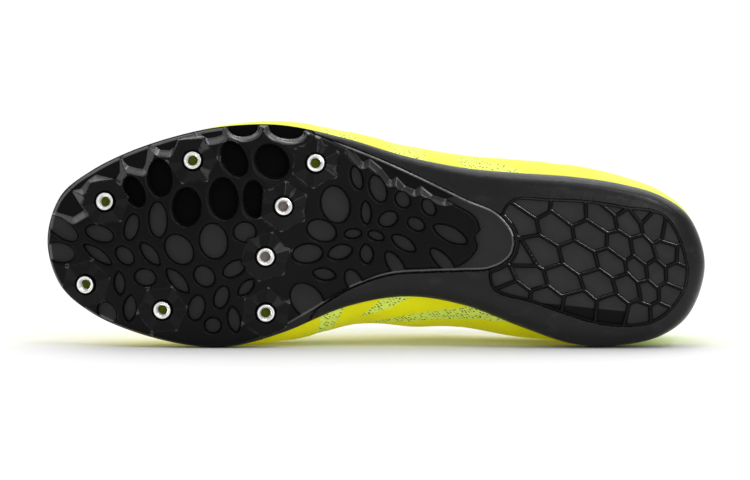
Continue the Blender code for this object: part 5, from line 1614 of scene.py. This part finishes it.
def lace_end(side):
    """The lace from the middle of its lowest bar up to a top eyelet."""
    spots = [throat_spot(side, EYELET_SECTIONS[0], 1.0, LACE_OVER)] + threaded(side, 0)
    for row in range(1, len(EYELET_SECTIONS)):
        before, section = EYELET_SECTIONS[row - 1], EYELET_SECTIONS[row]
        middle = before + 0.67 * (section - before)
        cross = 0.5 * (throat_spot(side, middle, 1.0, LACE_OVER) + throat_spot(-side, middle, 1.0, LACE_OVER))
        above = 1.5 * MM if (side > 0) == (row % 2 == 0) else -0.6 * MM
        spots.append(cross + np.array((0, 0, above + 1.2 * MM)))
        side = -side
        spots += [throat_spot(side, section, 1.0, LACE_OVER)] + threaded(side, row)
    return spots


def tube_mesh(name, path, radius, sides):
    """A round closed tube along a path, which carries its length."""
    ways = unit(np.gradient(path, axis=0))
    across = unit(np.cross(ways[0], (0.0, 0.3, 1.0)))
    angle = 2 * math.pi * np.arange(sides) / sides
    rings = []
    for spot, way in zip(path, ways):
        across = unit(across - (across @ way) * way)
        over = np.cross(way, across)
        rings.append(spot + radius * (np.cos(angle)[:, None] * across + np.sin(angle)[:, None] * over))
    rings = np.array(rings)
    caps = [np.broadcast_to(path[end], (sides, 3)) for end in (0, -1)]
    mesh = grid_mesh(name, np.concatenate([caps[:1], rings, caps[1:]]), False, True)
    run = np.concatenate([[0], np.cumsum(np.linalg.norm(np.diff(path, axis=0), axis=1))]) / MM
    run = np.repeat(np.concatenate([run[:1], run, run[-1:]]), sides)
    set_values(mesh, "run", run)
    work = bmesh.new()
    work.from_mesh(mesh)
    bmesh.ops.remove_doubles(work, verts=work.verts, dist=1e-7)
    bmesh.ops.recalc_face_normals(work, faces=work.faces)
    work.to_mesh(mesh)
    work.free()
    return mesh


lace_path = np.array(lace_end(1)[::-1] + lace_end(-1))
lace_path = smooth_side(lace_path, 0.7 * MM)
lace_weave, shade = new_finish("black_lace", Base_Color=LACE_COLOUR, Sheen_Weight=0.2, Sheen_Roughness=0.5)
strand = 0.5 + 0.5 * shade.math("SINE", shade.attribute("run") * (2 * math.pi / 0.9))
fibre = shade.noise(0.35 * MM, 2.0)
shade.feed(Roughness=0.65 + 0.2 * fibre, Normal=shade.bump(0.6 * strand + 0.4 * fibre, 0.15 * MM))
add_piece("lace", tube_mesh("lace", lace_path, LACE_RADIUS, LACE_SIDES), "black_lace", ["laces"], lace_weave)


# Tongue: a padded strip of dark textile under the laces, free at its top.
TONGUE_SECTIONS = [10.4, 9.6, 8.8, 8.0, 7.5, 7.1]
TONGUE_THICKNESS = 2.6 * MM
TONGUE_TOP_REACH = 24 * MM
TONGUE_FRONT_REACH = 15 * MM
TONGUE_GRID = (90, 60)


def tongue_row(section):
    """Points across the tongue, just under the upper's two throat edges."""
    share = np.array((0.80, 0.90, 1.0))
    under = UPPER_WALL + 3 * FIT_GAP
    inner, outer = [wall_point(u, share) - under * wall_normal(u, share)
                    for u in (LOOP_LENGTH - section, section)]
    arch = 1.5 * MM * min(max((10.4 - section) / 2.0, 0.0), 1.0)
    across = np.array((0.25, 0.5, 0.75))[:, None]
    between = inner[-1] + across * (outer[-1] - inner[-1])
    between[:, 2] += arch * 4 * across[:, 0] * (1 - across[:, 0])
    return np.concatenate([inner, between, outer[::-1]])


def slid(row, direction, narrow, lower):
    """A tongue row moved along, drawn in towards its middle and lowered."""
    middle = row[len(row) // 2]
    return middle + direction + narrow * (row - middle) - np.array((0, 0, lower))


tongue_rows = [tongue_row(section) for section in TONGUE_SECTIONS]
front_way = unit(tongue_rows[0][4] - tongue_rows[1][4]) * TONGUE_FRONT_REACH
top_way = unit(tongue_rows[-1][4] - tongue_rows[-2][4]) * TONGUE_TOP_REACH
tongue_rows.insert(0, slid(tongue_rows[0], front_way, 0.75, 1.2 * MM))
tongue_rows.append(slid(tongue_rows[-1], 0.35 * top_way, 0.64, 0.0))
tongue_rows.append(slid(tongue_rows[-2], top_way, 0.56, -3.0 * MM))


def resampled(rows, count):
    """Rows of points brought to a number of rows on smooth curves."""
    flat = np.reshape(rows, (len(rows), -1))
    return curve_through(range(len(rows)), flat, np.linspace(0, len(rows) - 1, count)).reshape(count, -1, 3)


tongue_rows = resampled(tongue_rows, TONGUE_GRID[0])
tongue_front = np.array([resampled(row, TONGUE_GRID[1])[:, 0] for row in tongue_rows])
tongue_out = unit(np.cross(np.gradient(tongue_front, axis=1), np.gradient(tongue_front, axis=0)))
tongue_out *= np.sign(tongue_out[..., 2:].mean())
from_end, from_side = [np.minimum(np.arange(count), np.arange(count)[::-1]) / (0.5 * count)
                       for count in TONGUE_GRID]
fullness = np.sqrt(np.clip(np.minimum(from_side[None, :] / 0.12, from_end[:, None] / 0.06), 0, 1))
lace_clear = 1.15 * LACE_RADIUS + 0.1 * MM
lace_tree = KDTree(len(lace_path))
for index, spot in enumerate(lace_path):
    lace_tree.insert(spot, index)
lace_tree.balance()
for row in np.ndindex(TONGUE_GRID):
    for spot, *_ in lace_tree.find_range(tongue_front[row], 3.2 * LACE_RADIUS):
        apart = tongue_front[row] - np.array(spot)
        above = apart @ tongue_out[row]
        aside = math.sqrt(max(apart @ apart - above * above, 0.0))
        press = above + math.sqrt(max(lace_clear * lace_clear - aside * aside, 0.0))
        if aside < lace_clear and press > 0:
            tongue_front[row] -= press * tongue_out[row]
tongue_back = tongue_front - TONGUE_THICKNESS * (0.25 + 0.75 * fullness)[..., None] * tongue_out
tongue_mesh = grid_mesh("tongue_pad", np.concatenate([tongue_front, tongue_back[:, ::-1]], axis=1),
                        False, True)
tongue = add_piece("tongue_pad", tongue_mesh, "grey_lining", ["tongue"], textile)


# Studio: a white sweep that curves up far behind the shoe under a wide ceiling light, in an
# even room. A small key light above and to the right, a strip over the shoe and a light in
# front of it bring out the edges of the black sole.
SWEEP_COLOUR = (0.79, 0.79, 0.79)
SWEEP_WIDTH = 7.0
SWEEP_FRONT = -5.0
SWEEP_BACK = 4.5
SWEEP_RADIUS = 1.5
SWEEP_TOP = 4.0
ROOM_LIGHT = 0.68
LIGHT_AIM = (0.0, -0.02, 0.05)
CEILING = (0.0, 3.6, 3.6)

turn = np.linspace(0, 0.5 * math.pi, 24)
sweep_line = np.concatenate([[(SWEEP_FRONT, 0.0)],
                             np.stack((SWEEP_BACK + SWEEP_RADIUS * np.sin(turn),
                                       SWEEP_RADIUS * (1 - np.cos(turn))), axis=1),
                             [(SWEEP_BACK + SWEEP_RADIUS, SWEEP_TOP)]])
sweep_rows = np.array([[(side * SWEEP_WIDTH, y, z) for side in (1, -1)] for y, z in sweep_line])
sweep_mesh = grid_mesh("sweep", sweep_rows, False, False)
sweep_mesh.shade_smooth()
sweep = bpy.data.objects.new("sweep", sweep_mesh)
bpy.context.scene.collection.objects.link(sweep)
paper, shade = new_finish("white_paper", Roughness=0.8, Specular_IOR_Level=0.2)
pulp = shade.noise(4 * MM, 3.0)
shade.feed(Base_Color=pulp.vary(SWEEP_COLOUR, 0.985))
sweep_mesh.materials.append(paper)


def add_light(name, spot, aim, width, height, watts):
    """A soft rectangular light that faces a point."""
    light = bpy.data.lights.new(name, "AREA")
    light.shape = "RECTANGLE"
    light.size = width
    light.size_y = height
    light.energy = watts
    item = bpy.data.objects.new(name, light)
    item.location = spot
    item.rotation_euler = (Vector(aim) - Vector(spot)).to_track_quat("-Z", "Y").to_euler()
    bpy.context.scene.collection.objects.link(item)


add_light("key", (0.55, -0.45, 0.95), LIGHT_AIM, width=0.3, height=0.3, watts=2.3)
add_light("strip", (0.10, -0.06, 0.95), LIGHT_AIM, width=1.0, height=0.16, watts=2.3)
add_light("front", (0.90, -2.30, 0.85), LIGHT_AIM, width=0.6, height=0.6, watts=7)
add_light("ceiling", CEILING, (*CEILING[:2], 0.0), width=8.0, height=7.0, watts=210)

world = bpy.data.worlds.new("studio")
bpy.context.scene.world = world
world.use_nodes = True
world.node_tree.nodes["Background"].inputs["Color"].default_value = (1, 1, 1, 1)
world.node_tree.nodes["Background"].inputs["Strength"].default_value = ROOM_LIGHT
bpy.context.scene.view_settings.view_transform = "Standard"

# Camera: the picture's width at the sole is that of the photo's 750 pixels.
PICTURE_WIDTH = 750
PIXELS_PER_MM = 2.318
SENSOR_WIDTH = 36
DISTANCE = 2.6
ELEVATION = math.radians(4.5)
AIM = Vector((-0.0003, -0.037, 0.0469))

camera_data = bpy.data.cameras.new("camera")
camera = bpy.data.objects.new("camera", camera_data)
bpy.context.scene.collection.objects.link(camera)
camera_data.sensor_width = SENSOR_WIDTH
camera_data.lens = SENSOR_WIDTH * DISTANCE / (PICTURE_WIDTH / PIXELS_PER_MM * MM)
camera.location = AIM + DISTANCE * Vector((0, -math.cos(ELEVATION), math.sin(ELEVATION)))
camera.rotation_euler = (math.pi / 2 - ELEVATION, 0, 0)
bpy.context.scene.camera = camera
